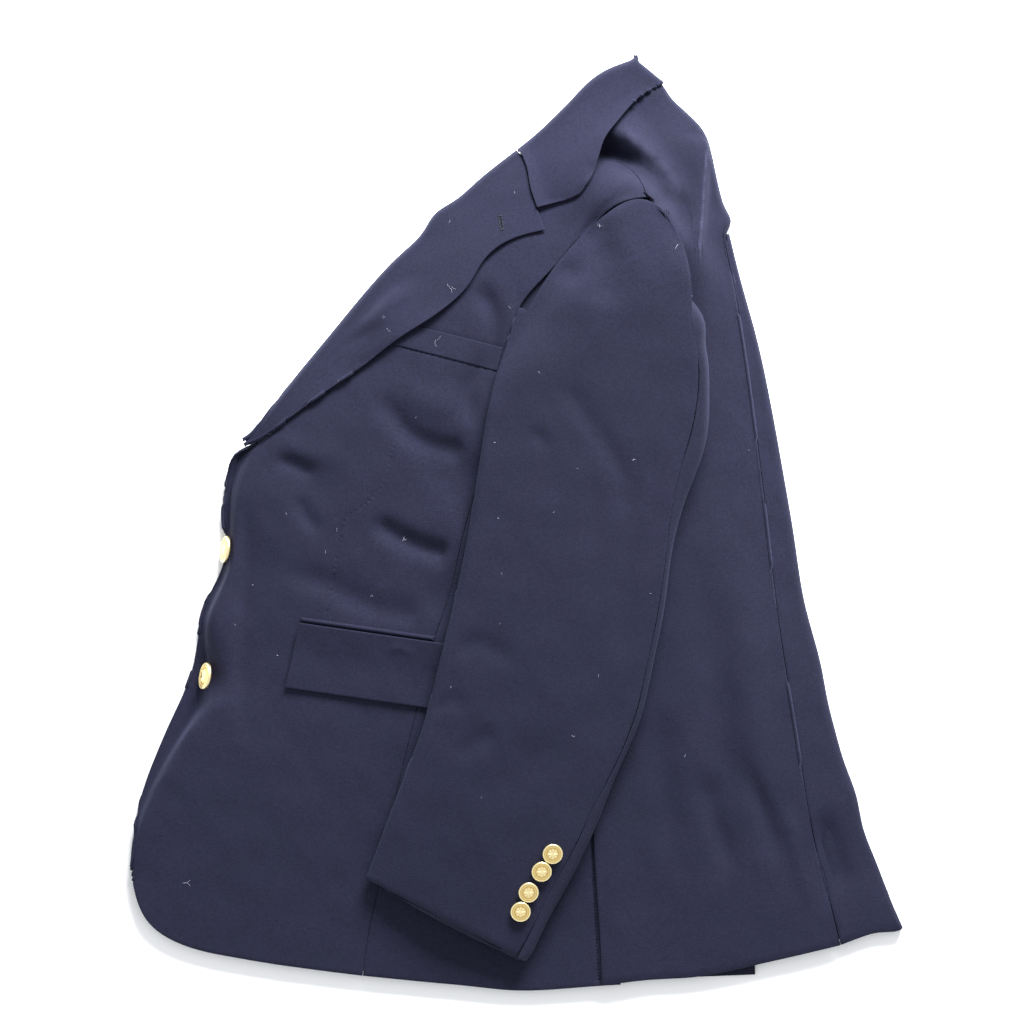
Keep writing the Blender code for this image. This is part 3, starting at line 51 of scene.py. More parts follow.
# Lengths in this file are in millimetres, X to the back fold, Y to the collar, Z up from the table.
MM = 0.001
WELD = 2e-5
SHARP = math.radians(55)  # a cloth's rim is sharper than this, and its rolls and folds are softer
CORNER = math.radians(40)  # the outline turns by more than this at its corners
FILL = 0.9  # share of the width lost in rounding that is made up again
PATH_POINTS = 48  # points of a path from which distances are taken
SKY = 500.0  # beyond everything, where rays up and down start
PRESSED = 12.0  # the most by which a cloth gives way to one that lies on it
RIM_SINKS = (1.0, 0.3)  # how far the outline and the row inside it turn down, as shares
SHEET_CLEAR = 0.1  # height above the table that a cloth's middle keeps before it is thickened
CLOTH_CLEAR = 0.05  # height above the table that the whole cloth keeps
WEAR_HIGHLIGHT_FADE = 0.15  # share of a rubbed edge over which the rubbing and its painted highlight fade at either end
BUILT = {}  # finished pieces, as trees that later ones are laid against

# Folds and dents of the body: path, rise, spread to the left and right of the path,
# and the shares of its length over which each fades in and out
BODY_CREASES = (
    (((-124, 4), (-104, -9), (-82, -20), (-55, -28)), -5.4, 8, 9, 0.25, 0.1),
    (((-205, -42), (-160, -53), (-130, -68), (-75, -82)), -3.6, 12, 10, 0.3, 0.15),
    (((-207, 54), (-185, 47), (-166, 37)), -3.2, 7, 7, 0.3, 0.3),
    (((-186, 24), (-177, 5), (-160, -12)), -2.4, 6, 6, 0.3, 0.4),
    (((-118, 112), (-106, 94), (-92, 76), (-70, 64), (-42, 60)), -4.6, 9, 10, 0.3, 0.1),
    (((-96, 106), (-74, 99), (-50, 88)), 2.6, 13, 12, 0.3, 0.3),
    (((-34, 202), (-18, 166), (-24, 136), (-38, 112), (-38, 74)), -4.4, 8, 9, 0.15, 0.2),
    (((-212, 74), (-190, 62), (-165, 55), (-140, 60)), 1.8, 10, 10, 0.3, 0.4),
    (((-228, 30), (-228, -20), (-231, -75), (-231, -140), (-226, -190)), -2.4, 8, 7, 0.2, 0.3),
    (((56, 306), (76, 307), (98, 297), (119, 280), (139, 253), (155, 214)), -15.0, 12, 8, 0.06, 0.35),
    (((80, 334), (104, 316), (124, 297), (140, 272), (148, 246)), 3.5, 9, 8, 0.2, 0.4),
    (((-224, 66), (-236, 44), (-242, 20), (-244, 0), (-242, -22)), -8.0, 5, 5, 0.2, 0.3),
    (((158, -205), (163, -236), (173, -271), (184, -308)), -4.5, 10, 9, 0.3, 0.35),
    (((192, -190), (198, -218), (211, -250), (222, -300)), -4.5, 8, 9, 0.3, 0.35),
    (((226, -235), (232, -262), (243, -306), (250, -335)), 1.8, 6, 6, 0.3, 0.3),
    (((258, -240), (266, -280), (281, -312)), -9.0, 12, 10, 0.4, 0.1),
    (((120, -150), (126, -230), (132, -300)), -3.0, 12, 12, 0.3, 0.3),
    (((161, 326), (159, 288), (156, 250), (152, 216)), 4.5, 3, 16, 0.08, 0.3),
    (((-111, -113), (-99, -106), (-85, -115)), 0.8, 4, 3, 0.4, 0.4),
)
DART = (
    (-91, 115), (-94, 94), (-104, 60), (-110, 35), (-123, 18),
    (-144, 1), (-148, -16), (-154, -49), (-159, -80),
)
VENT = ((63, -258), (66, -320), (70, -390))
SHOULDER_SEAM = ((103, 286), (108, 271))
BUTTONHOLE = ((-14, 256.5), (-12.2, 245))
# The long edges of two strips, and how many columns and rows each strip has
JET_EDGES = (
    ((-181, -84.5, 0), (-100, -96, 0), (-18, -108, 0)),
    ((-181, -80, 0), (-100, -91.5, 0), (-18, -103.5, 0)),
)
JET_COLUMNS, JET_ROWS = 120, 8
HEM_EDGES = (
    ((122, -386, 3.2), (152, -385.5, 3.2), (178, -384.5, 3.4), (202, -383.5, 3.6)),
    ((122, -352, 5), (152, -352, 5), (178, -351, 5), (202, -350, 5)),
)
HEM_COLUMNS, HEM_ROWS = 60, 24
# The points of a buttonhole stitch and of the bar at its ends: how far out, and how high over the cloth
STITCH = ((0.15, -0.25), (0.55, 0.3), (1.2, 0.38), (1.75, 0.1), (1.9, -0.2))
BAR = ((-1.7, -0.1), (-0.8, 0.5), (0.8, 0.5), (1.7, -0.1))
STITCH_COUNT, TWIST_RADIUS = 19, 0.24
SWAY, SWAY_TURN = 0.12, 3.7  # how far the stitches stray along the slit, and how that changes
BAR_STEPS = (-0.45, 0.0, 0.45)  # where the threads of a bar lie beside each other
# The jet's height where no front lies below it, how far it lies over the front, and its roundness
JET_HEIGHT, JET_LIFT, JET_ROUND = 34.0, 1.3, 1.1
# The buttons' relief, as shares of their height, and how often it repeats round them
PETALS, PETAL_RISE = 8, 0.05
BEADS, BEAD_RISE = 32, 0.045
BUTTON_PROFILE = (
    # share of the radius, share of the height, rosette, beads, recess, which darkens the gilt as painted
    # shade
    (0.00, 0.97, 0, 0, 0), (0.06, 0.97, 0, 0, 0), (0.12, 0.95, 0.2, 0, 0), (0.20, 0.93, 0.8, 0, 0.1),
    (0.30, 0.92, 1, 0, 0.1), (0.40, 0.90, 1, 0, 0.1), (0.48, 0.87, 0.7, 0, 0.3), (0.54, 0.83, 0.2, 0, 0.9),
    (0.58, 0.82, 0, 0, 1), (0.62, 0.82, 0, 0.2, 1), (0.67, 0.84, 0, 1, 0.5), (0.72, 0.86, 0, 1, 0.4),
    (0.77, 0.83, 0, 0.2, 1), (0.81, 0.82, 0, 0, 0.9), (0.85, 0.86, 0, 0, 0.2), (0.90, 0.88, 0, 0, 0),
    (0.95, 0.84, 0, 0, 0), (0.985, 0.72, 0, 0, 0), (1.00, 0.58, 0, 0, 0), (0.985, 0.44, 0, 0, 0.3),
    (0.93, 0.30, 0, 0, 0.8), (0.70, 0.20, 0, 0, 1), (0.40, 0.14, 0, 0, 1), (0.22, 0.12, 0, 0, 1),
    (0.20, 0.00, 0, 0, 1),
)
# Rubbed edges, lightened partly as rubbed nap and partly as a painted highlight along their ridges: path,
# amount, width
RUBBED_HIGHLIGHT_SLEEVE = (
    (((-7, 169), (0, 180), (31, 216), (60, 260), (82, 267), (100, 270)), 0.8, 1.6),
    (((106, 268), (125, 262), (141, 241), (151, 216), (159, 169), (161, 117)), 0.8, 1.8),
)
RUBBED_HIGHLIGHT_BODY = (
    (((161, 326), (158, 290), (155, 250), (152, 216)), 0.8, 1.2),
    (((80, 332), (104, 312), (124, 293), (138, 270)), 0.35, 6),
)
LINT = (
    # place, length of its fibres, number of fibres
    (-194, 6, 1.6, 2), (-151, -7, 1.4, 2), (-160, -25, 1.5, 2), (-94, -15, 2.2, 7), (-121, -63, 1.5, 2),
    (-222, -54, 1.4, 2), (-236, -87, 1.3, 1), (-202, -112, 1.5, 2), (-2, 276, 1.5, 2), (-56, 252, 1.4, 2),
    (19, 124, 1.4, 2), (68, 247, 2.6, 4), (135, 230, 5.0, 1), (147, 189, 1.6, 2), (-55, 196, 4.5, 3),
    (-68, 151, 6.0, 2), (-111, 173, 2.4, 2), (-108, 160, 2.0, 2), (-6, 179, 1.5, 2), (-18, 66, 1.5, 2),
    (97, 51, 1.8, 3), (50, 44, 1.4, 1), (-16, 3, 1.4, 2), (-13, -44, 1.5, 2), (-14, -84, 1.5, 1),
    (68, -130, 3.0, 1), (48, -180, 1.8, 3), (-54, -138, 1.4, 2), (142, -197, 1.6, 2), (-281, -304, 7.0, 2),
    (-84, 88, 1.2, 1), (-150, 118, 1.3, 1), (32, 8, 1.3, 1), (112, -60, 1.3, 1), (196, 60, 1.3, 1),
    (-30, -230, 1.3, 1),
)
LINT_STEPS = 8  # straight pieces of a fibre
LINT_BEND, LINT_SWAY = 1.4, 0.25  # the most that a fibre turns over its length, and strays at a step
LINT_SPREAD = 0.35  # how far fibres lie from their place, as a share of their length
LINT_LIFT = 0.16  # height of a fibre over the cloth
LINT_RADII = (0.07, 0.12)
# Folds and dents of the top sleeve, as for the body
SLEEVE_CREASES = (
    (
        ((36, 116), (47, 102), (60, 83), (86, 43), (95, 10), (94, -42), (89, -90), (93, -132)),
        -2.2, 8, 8, 0.1, 0.2,
    ),
    (((12, 78), (20, 69), (29, 60)), -1.8, 5, 5, 0.3, 0.3),
    (((62, 42), (66, 10), (68, -26)), -1.2, 8, 8, 0.3, 0.3),
    (((-49, -113), (-33, -100), (-20, -106), (-2, -121)), -2.0, 6, 6, 0.2, 0.3),
    (((-72, -158), (-51, -150), (-38, -159)), -1.8, 6, 6, 0.2, 0.3),
    (((-46, -201), (-34, -184), (-12, -177)), -2.0, 7, 7, 0.2, 0.3),
    (((38, 216), (46, 206), (52, 198)), -3.0, 9, 9, 0.3, 0.3),
    (((78, 236), (76, 205), (70, 176)), -3.6, 14, 14, 0.3, 0.3),
    (((134, 75), (130, 44), (127, -7), (124, -64), (120, -88)), 1.6, 4, 5, 0.2, 0.3),
)
UNEVENNESS = (
    # waves per metre along x and y, phase, height
    (14.0, 9.0, 0.4, 0.20), (-11.0, 17.0, 1.9, 0.18), (23.0, -6.0, 3.1, 0.14),
    (6.0, 27.0, 5.2, 0.12), (-31.0, -19.0, 2.6, 0.07), (37.0, 29.0, 0.9, 0.05),
)
FLOOR_CLEAR = (4.0, 16.0)  # heights over which a crease runs out towards the table
WEFT_PITCH = 0.9  # distance between weft yarns, as a share of that between warp yarns

# What follows is in metres
WEAVE_DEPTH = 0.0004
WINDOW_PLACE, WINDOW_AIM, WINDOW_SIZE = (0.6, 2.1, 1.2), (0, 0.05, 0), (1.3, 0.8)
CAMERA_PLACE = (-0.0038, 0.0080)  # straight over the middle of what it takes in
CLOTH_TOP = 0.030  # the height at which the camera's framed width holds
TABLE_REACH = 3.0

FLUFF_COLOUR = (0.045, 0.047, 0.085, 1)
# lighter than the wool: rubbed nap on the ridges, and a painted highlight there
RUBBED_HIGHLIGHT_COLOUR = (0.05, 0.05, 0.09, 1)
TWIST_COLOUR = (0.012, 0.012, 0.026)
LINT_COLOUR = (0.34, 0.35, 0.42)
BOARD_COLOUR = (0.97, 0.97, 0.97, 1)
ROOM_COLOUR = (0.95, 0.97, 1.0, 1)
WINDOW_COLOUR = (0.97, 0.98, 1.0)


def smooth(share):
    """The share, clipped and eased at both ends."""
    share = np.clip(share, 0.0, 1.0)
    return share * share * (3 - 2 * share)


def ridge(height, distance, spread, share, start, end):
    """The heights of a soft ridge beside its path, which fades in and out along it."""
    return height * np.exp(-((distance / spread) ** 2)) * smooth(share / start) * smooth((1 - share) / end)


def line_through(path, count):
    """A smooth line through the points of a path, and the share of its length at each point."""
    knots = np.array(path, float)
    gaps = np.hypot(*np.diff(knots[:, :2], axis=0).T)
    at = np.concatenate([[0.0], np.cumsum(gaps)])
    if len(knots) > 2:
        slopes = np.gradient(knots, at, axis=0)
    else:
        slopes = np.repeat(np.diff(knots, axis=0) / gaps[0], 2, 0)
    where = np.linspace(0, at[-1], count)
    k = np.clip(np.searchsorted(at, where, side="right") - 1, 0, len(knots) - 2)
    step = (at[k + 1] - at[k])[:, None]
    t = ((where - at[k]) / (at[k + 1] - at[k]))[:, None]
    points = (
        (2 * t**3 - 3 * t**2 + 1) * knots[k] + (t**3 - 2 * t**2 + t) * step * slopes[k]
        + (3 * t**2 - 2 * t**3) * knots[k + 1] + (t**3 - t**2) * step * slopes[k + 1]
    )
    return points, where / at[-1]


def beside(points, path, reach):
    """The points near a path: which, how far, whether to its left, and the share along it."""
    line, shares = line_through(path, PATH_POINTS)
    low, high = line[:, :2].min(0) - reach, line[:, :2].max(0) + reach
    near = np.flatnonzero(((points[:, :2] > low) & (points[:, :2] < high)).all(1))
    away = points[near, None, :2] - line[None, :, :2]
    nearest = np.hypot(away[..., 0], away[..., 1]).argmin(1)
    away = away[np.arange(len(near)), nearest]
    way = np.gradient(line[:, :2], axis=0)[nearest]
    left = way[:, 0] * away[:, 1] - way[:, 1] * away[:, 0] > 0
    return near, np.hypot(*away.T), left, shares[nearest]


def crease_rise(points, creases):
    """How far the creases lift or sink each point."""
    rise = np.zeros(len(points))
    for path, height, left_spread, right_spread, start, end in creases:
        near, distance, left, share = beside(points, path, 3 * max(left_spread, right_spread))
        spread = np.where(left, left_spread, right_spread)
        rise[near] += ridge(height, distance, spread, share, start, end)
    for along_x, along_y, phase, height in UNEVENNESS:
        rise += height * np.sin(2 * math.pi * MM * (along_x * points[:, 0] + along_y * points[:, 1]) + phase)
    low, high = FLOOR_CLEAR
    return rise * smooth((points[:, 2] - low) / (high - low))


def coordinates(mesh):
    """The places of a mesh's points, a row for each."""
    found = np.empty(len(mesh.vertices) * 3)
    mesh.vertices.foreach_get("co", found)
    return found.reshape(-1, 3)


def face_regions(bm):
    """The faces in groups that sharp edges part, largest first."""
    seen, regions = set(), []
    for face in bm.faces:
        if face in seen:
            continue
        seen.add(face)
        waiting, group = [face], []
        while waiting:
            one = waiting.pop()
            group.append(one)
            for edge in one.edges:
                if edge.calc_face_angle(math.pi) < SHARP:
                    more = [f for f in edge.link_faces if f not in seen]
                    seen.update(more)
                    waiting += more
        regions.append(group)
    return sorted(regions, key=lambda group: -sum(f.calc_area() for f in group))


def mean_height(group):
    """The height of a group of faces, weighed by their area."""
    return sum(f.calc_center_median().z * f.calc_area() for f in group) / sum(f.calc_area() for f in group)


def node_form(node):
    """A node's solid in millimetres, welded, with its triangles paired into quads."""
    bm = bmesh.new()
    bm.from_mesh(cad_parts[node].data)
    bmesh.ops.remove_doubles(bm, verts=bm.verts, dist=WELD)
    bmesh.ops.scale(bm, vec=(1 / MM,) * 3, verts=bm.verts)
    bmesh.ops.recalc_face_normals(bm, faces=bm.faces)
    bmesh.ops.join_triangles(
        bm, faces=bm.faces, angle_face_threshold=math.radians(35), angle_shape_threshold=math.radians(80)
    )
    return bm


def outer_face(node):
    """The outer face of a node's cloth, as an open mesh."""
    bm = node_form(node)
    outer = max(face_regions(bm)[:2], key=mean_height)
    bmesh.ops.delete(bm, geom=[f for f in bm.faces if f not in set(outer)], context="FACES")
    return bm


def smoothed(bm, levels):
    """The open form as a finer, rounded mesh with the old outline, and about as wide over its rolls."""
    mesh = bpy.data.meshes.new("form")
    bm.to_mesh(mesh)
    bm.free()
    holder = bpy.data.objects.new("form", mesh)
    bpy.context.scene.collection.objects.link(holder)
    modifier = holder.modifiers.new("Rounding", "SUBSURF")
    modifier.levels, modifier.boundary_smooth, modifier.use_limit_surface = 1, "PRESERVE_CORNERS", True

    def rounded():
        return holder.evaluated_get(bpy.context.evaluated_depsgraph_get()).data

    target = coordinates(mesh)
    uses = np.zeros(len(mesh.edges), int)
    edge_of_loop = np.empty(len(mesh.loops), int)
    mesh.loops.foreach_get("edge_index", edge_of_loop)
    np.add.at(uses, edge_of_loop, 1)
    ends = np.array([e.vertices[:] for e in mesh.edges])
    rim = np.zeros((len(target), 1), bool)
    rim[np.unique(ends[uses == 1])] = True
    shares = np.maximum(np.bincount(ends.ravel(), minlength=len(target)), 1)[:, None]
    normals = np.array([v.normal[:] for v in mesh.vertices])
    guide = target.copy()
    for _ in range(4):
        lack = target - coordinates(rounded())[: len(target)]
        # inside the outline only the even part of the lack is made up, so that no ripples come back
        even = np.where(rim, 0.0, normals * (lack * normals).sum(1, keepdims=True))
        for _ in range(3):
            around = np.zeros_like(even)
            np.add.at(around, ends[:, 0], even[ends[:, 1]])
            np.add.at(around, ends[:, 1], even[ends[:, 0]])
            even = np.where(rim, 0.0, 0.5 * even + 0.5 * around / shares)
        guide += np.where(rim, lack, FILL * even)
        mesh.vertices.foreach_set("co", guide.ravel())
        mesh.update()
    modifier.levels = levels
    fine = bmesh.new()
    fine.from_mesh(rounded())
    bpy.data.objects.remove(holder)
    bpy.data.meshes.remove(mesh)
    return fine


def move(bm, shift):
    """Moves each point by its row of shift."""
    for vert, step in zip(bm.verts, shift):
        vert.co += Vector(step)


def points_of(bm):
    """The places of the points, a row for each."""
    return np.array([v.co for v in bm.verts])


def refined(bm, path, reach, size):
    """Splits the faces near a path, at most twice, where their sides are longer than size."""
    for _ in range(2):
        middles = np.array([(e.verts[0].co + e.verts[1].co) / 2 for e in bm.edges])
        near, distance, _, _ = beside(middles, path, reach)
        near = near[distance < reach]
        bm.edges.ensure_lookup_table()
        long = [bm.edges[k] for k in near if bm.edges[k].calc_length() > size]
        if not long:
            return
        bmesh.ops.subdivide_edges(bm, edges=long, cuts=1, use_grid_fill=True)
        bmesh.ops.triangulate(bm, faces=[f for f in bm.faces if len(f.verts) > 4])


def evened_rim(bm, rounds=12):
    """Takes small steps out of the outline, and leaves its corners."""
    rim = []
    for vert in bm.verts:
        ends = [e.other_vert(vert) for e in vert.link_edges if e.is_boundary]
        if len(ends) == 2 and (vert.co - ends[0].co).angle(ends[1].co - vert.co, 0) < CORNER:
            rim.append((vert, *ends))
    for _ in range(rounds):
        places = [vert.co.lerp((one.co + two.co) / 2, 0.5) for vert, one, two in rim]
        for (vert, _one, _two), place in zip(rim, places):
            vert.co = place


def band(first, second, columns, rows):
    """An open strip of cloth between two paths."""
    one, two = line_through(first, columns)[0], line_through(second, columns)[0]
    bm = bmesh.new()
    lines = [[bm.verts.new(p) for p in one + (two - one) * (k / rows)] for k in range(rows + 1)]
    for low, high in zip(lines, lines[1:]):
        for corners in zip(low, low[1:], high[1:], high):
            bm.faces.new(corners)
    return bm


def rounded_rim(bm, reach, drop):
    """Two narrow rows round the outline, sunk so that the cloth turns over its edge."""
    for width in (reach, reach / 2):
        bmesh.ops.inset_region(bm, faces=bm.faces, thickness=width, use_boundary=True)
        bm.normal_update()
    rows = [{v for e in bm.edges if e.is_boundary for v in e.verts}]
    rows.append({w for v in rows[0] for e in v.link_edges for w in e.verts} - rows[0])
    for row, share in zip(rows, RIM_SINKS):
        for vert, normal in [(v, v.normal.copy()) for v in row]:
            vert.co -= normal * drop * share


def thickened(bm, thickness):
    """The open sheet as a closed cloth, its underside that far below."""
    bm.normal_update()
    top = list(bm.faces)
    normals = {v: v.normal.copy() for v in bm.verts}
    copy = bmesh.ops.duplicate(bm, geom=top)
    below = {copy["vert_map"][v]: n for v, n in normals.items()}
    for vert, normal in below.items():
        vert.co -= normal * thickness
    under = [g for g in copy["geom"] if isinstance(g, bmesh.types.BMFace)]
    bmesh.ops.reverse_faces(bm, faces=under)
    pairs = [e for e in bm.edges if e.is_boundary and e.verts[0] in normals and e.verts[1] in normals]
    for edge in pairs:
        a, b = edge.link_loops[0].vert, edge.link_loops[0].link_loop_next.vert
        bm.faces.new((b, a, copy["vert_map"][a], copy["vert_map"][b]))


def lay_under(bm, names, gap):
    """Presses the cloth down where it would come through a piece that lies on it."""
    for name in names:
        tree = BUILT[name]
        for vert in bm.verts:
            hit = tree.ray_cast(Vector((vert.co.x, vert.co.y, -SKY)), Vector((0, 0, 1)))[0]
            if hit is not None and 0 < vert.co.z - hit.z + gap < PRESSED:
                vert.co.z = hit.z - gap


def top_of(name, x, y):
    """The height of a finished piece's upper side at a place, or None beside it."""
    hit = BUILT[name].ray_cast(Vector((x, y, SKY)), Vector((0, 0, -1)))[0]
    return None if hit is None else hit.z


def height_at(x, y):
    """The height of the topmost piece at a place, or None beside the blazer."""
    heights = [top_of(name, x, y) for name in BUILT]
    return max((height for height in heights if height is not None), default=None)


def finished(name, bm, stuff, keep_tree=True):
    """The piece as an object in metres, smooth and with its finish."""
    bmesh.ops.triangulate(bm, faces=[f for f in bm.faces if len(f.verts) > 4])
    if keep_tree:
        BUILT[name] = BVHTree.FromBMesh(bm)
    bmesh.ops.scale(bm, vec=(MM,) * 3, verts=bm.verts)
    mesh = bpy.data.meshes.new(name)
    bm.to_mesh(mesh)
    bm.free()
    mesh.shade_smooth()
    mesh.materials.append(stuff)
    piece = bpy.data.objects.new(name, mesh)
    bpy.context.scene.collection.objects.link(piece)
    return piece


def socket(node, name, value):
    """Sets an input of a node."""
    node.inputs[name].default_value = value


def new_finish(name):
    """An empty material, with its node tree and its shader."""
    stuff = bpy.data.materials.new(name)
    stuff.use_nodes = True
    return stuff, stuff.node_tree, stuff.node_tree.nodes["Principled BSDF"]


def tinted(colour, *shares):
    """The colour times a share, or times one for each channel, as a node takes it."""
    if len(shares) == 1:
        shares *= 3
    return tuple(min(1.0, share * channel) for share, channel in zip(shares, colour)) + (1,)


def mixed(tree, factor, one, two):
    """A colour that goes from one to the other by a factor."""
    made = tree.nodes.new("ShaderNodeMix")
    made.data_type = "RGBA"
    for k, value in ((0, factor), (6, one), (7, two)):
        if isinstance(value, tuple):
            made.inputs[k].default_value = value
        else:
            tree.links.new(value, made.inputs[k])
    return made.outputs[2]


def held_value(tree, name):
    """A value that each point of the mesh holds under a name."""
    made = tree.nodes.new("ShaderNodeAttribute")
    made.attribute_name = name
    return made.outputs["Fac"]


def speckle(tree, scale, detail=2.0):
    """A fine uneven pattern that stays with the piece."""
    place = tree.nodes.new("ShaderNodeTexCoord")
    made = tree.nodes.new("ShaderNodeTexNoise")
    socket(made, "Scale", scale)
    socket(made, "Detail", detail)
    tree.links.new(place.outputs["Object"], made.inputs["Vector"])
    return made.outputs["Fac"]


def add_relief(tree, pattern, strength, depth):
    """Lets a pattern stand out of the surface."""
    bump = tree.nodes.new("ShaderNodeBump")
    socket(bump, "Strength", strength)
    socket(bump, "Distance", depth)
    tree.links.new(pattern, bump.inputs["Height"])
    tree.links.new(bump.outputs["Normal"], tree.nodes["Principled BSDF"].inputs["Normal"])


def add_roughness(tree, pattern, least, most):
    """Makes the surface rougher where a pattern is lighter."""
    rough = tree.nodes.new("ShaderNodeMapRange")
    socket(rough, "To Min", least)
    socket(rough, "To Max", most)
    tree.links.new(pattern, rough.inputs["Value"])
    tree.links.new(rough.outputs["Result"], tree.nodes["Principled BSDF"].inputs["Roughness"])


def wool(name, colour, grain):
    """Worsted wool: a fine weave along the grain, uneven yarns, a soft nap and small changes of colour."""
    settings = bpy.context.scene.blazer_cloth
    stuff, tree, shader = new_finish(name)
    nodes, links = tree.nodes, tree.links
    place = nodes.new("ShaderNodeTexCoord")
    turned = nodes.new("ShaderNodeMapping")
    turned.inputs["Rotation"].default_value = (0, 0, math.radians(grain))
    links.new(place.outputs["Object"], turned.inputs["Vector"])

    def noise(scale, detail, stretch=(1, 1, 1)):
        sized = nodes.new("ShaderNodeMapping")
        sized.inputs["Scale"].default_value = stretch
        links.new(turned.outputs["Vector"], sized.inputs["Vector"])
        made = nodes.new("ShaderNodeTexNoise")
        socket(made, "Scale", scale)
        socket(made, "Detail", detail)
        links.new(sized.outputs["Vector"], made.inputs["Vector"])
        return made.outputs["Fac"]

    def wave(direction, pitch):
        made = nodes.new("ShaderNodeTexWave")
        made.bands_direction = direction
        socket(made, "Scale", math.pi / 10 / pitch)
        socket(made, "Distortion", 1.2)
        socket(made, "Detail", 1.0)
        socket(made, "Detail Scale", 1.5)
        links.new(turned.outputs["Vector"], made.inputs["Vector"])
        return made.outputs["Fac"]

    def maths(kind, one, two, three=None):
        made = nodes.new("ShaderNodeMath")
        made.operation = kind
        for k, value in enumerate(v for v in (one, two, three) if v is not None):
            if isinstance(value, (int, float)):
                made.inputs[k].default_value = value
            else:
                links.new(value, made.inputs[k])
        return made.outputs[0]

    def ramp(value, low, high):
        made = nodes.new("ShaderNodeMapRange")
        socket(made, "From Min", low)
        socket(made, "From Max", high)
        links.new(value, made.inputs["Value"])
        return made.outputs["Result"]

    warp = wave("X", settings.weave_pitch)
    weft = wave("Y", settings.weave_pitch * WEFT_PITCH)
    weave = maths("MULTIPLY", warp, weft)
    warp_yarns = noise(scale=620, detail=2, stretch=(0.4, 2.0, 1))
    weft_yarns = noise(scale=680, detail=2, stretch=(2.0, 0.4, 1))
    yarns = maths("ADD", warp_yarns, weft_yarns)
    fibres = noise(scale=1500, detail=3)
    nap = noise(scale=90, detail=4)
    patches = noise(scale=11, detail=3)
    relief = maths("MULTIPLY_ADD", yarns, 0.6, maths("MULTIPLY", fibres, 0.6))
    relief = maths("MULTIPLY_ADD", weave, 0.5, relief)
    add_relief(tree, relief, settings.weave_relief, WEAVE_DEPTH)

    base = mixed(tree, ramp(yarns, 0.7, 1.3), tinted(colour, 0.72), tinted(colour, 1.32))
    for pattern, low, high, strength, tint in (
        # the pattern, its values where it starts and where it is full, its strength and its colour
        (nap, 0.42, 0.75, 0.35, tinted(colour, 1.5)),
        (patches, 0.35, 0.7, 0.25, tinted(colour, 0.85, 0.95, 0.8)),
        (fibres, 0.66, 0.8, 0.5, FLUFF_COLOUR),
    ):
        base = mixed(tree, maths("MULTIPLY", ramp(pattern, low, high), strength), base, tint)
    # lightens the rubbed ridges: partly rubbed nap, partly a painted highlight
    worn_highlight = maths("MULTIPLY", held_value(tree, "worn_highlight"), ramp(nap, 0.25, 0.6))
    base = mixed(tree, worn_highlight, base, RUBBED_HIGHLIGHT_COLOUR)
    links.new(base, shader.inputs["Base Color"])
    add_roughness(tree, nap, 0.74, 0.95)
    socket(shader, "Specular IOR Level", 0.12)
    socket(shader, "Sheen Weight", 0.07)
    socket(shader, "Sheen Roughness", 0.5)
    socket(shader, "Sheen Tint", (0.5, 0.55, 0.95, 1))
    return stuff


def wool_of(name, grain=0.0, shaded=False):
    """The wool with its grain turned by so many degrees, made once."""
    found = bpy.data.materials.get(name)
    settings = bpy.context.scene.blazer_cloth
    # shaded takes the darker copy of the wool colour, painted shade for the pieces underneath
    return found or wool(name, tuple(settings.shaded if shaded else settings.colour), grain)


def cloth_piece(
    name, node, stuff, *, bm=None, levels=2, lower=0.0, pulls=(), creases=(), seams=(), under=(), gap=0.4,
    edge=(0.6, 0.5), worn_highlight=(),
):
    """A panel of cloth in the place of its node: rounded, creased, seamed, laid and thickened.

    A pull is a place, its reach and a step, a seam is a path, its depth and its width, and a rubbed edge
    in worn_highlight, lightened as rubbed nap and as a painted highlight, is a path, its amount and its
    width.
    The edge is the width and the drop of the turned rim.
    """
    settings = bpy.context.scene.blazer_cloth
    bm = smoothed(outer_face(node) if bm is None else bm, levels)
    bmesh.ops.translate(bm, vec=(0, 0, -lower), verts=bm.verts)
    evened_rim(bm)
    for x, y, reach, step in pulls:
        share = np.exp(-((points_of(bm)[:, :2] - (x, y)) ** 2).sum(1) / reach**2)
        move(bm, share[:, None] * np.array(step, float))
    points = points_of(bm)
    if creases:
        move(bm, np.stack([0 * points[:, 0], 0 * points[:, 0], crease_rise(points, creases)], 1))
    for path, depth, width in seams:
        refined(bm, path, 2.5 * width, 0.55 * width)
        near, distance, _, share = beside(points_of(bm), path, 3 * width)
        bm.verts.ensure_lookup_table()
        for k, d, s in zip(near, distance, share):
            if 0 < s < 1:
                bm.verts[k].co.z -= depth * math.exp(-((d / width) ** 2))
    lay_under(bm, under, gap)
    bm.normal_update()
    for vert in bm.verts:
        vert.co.z = max(vert.co.z, SHEET_CLEAR + max(0.0, vert.normal.z) * settings.thickness / MM)
    rounded_rim(bm, *edge)
    thickened(bm, settings.thickness / MM)
    for vert in bm.verts:
        vert.co.z = max(vert.co.z, CLOTH_CLEAR)
    piece = finished(name, bm, stuff)
    # how much the wool is lightened along rubbed ridges: rubbed nap and a painted highlight
    wear_highlight = np.zeros(len(piece.data.vertices))
    points = coordinates(piece.data) / MM
    for path, amount, width in worn_highlight:
        near, distance, _, share = beside(points, path, 3 * width)
        wear_highlight[near] = np.maximum(wear_highlight[near], ridge(amount, distance, width, share, WEAR_HIGHLIGHT_FADE, WEAR_HIGHLIGHT_FADE))
    piece.data.attributes.new("worn_highlight", "FLOAT", "POINT").data.foreach_set("value", wear_highlight)
    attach(piece, "root")
    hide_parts(node)
    return piece


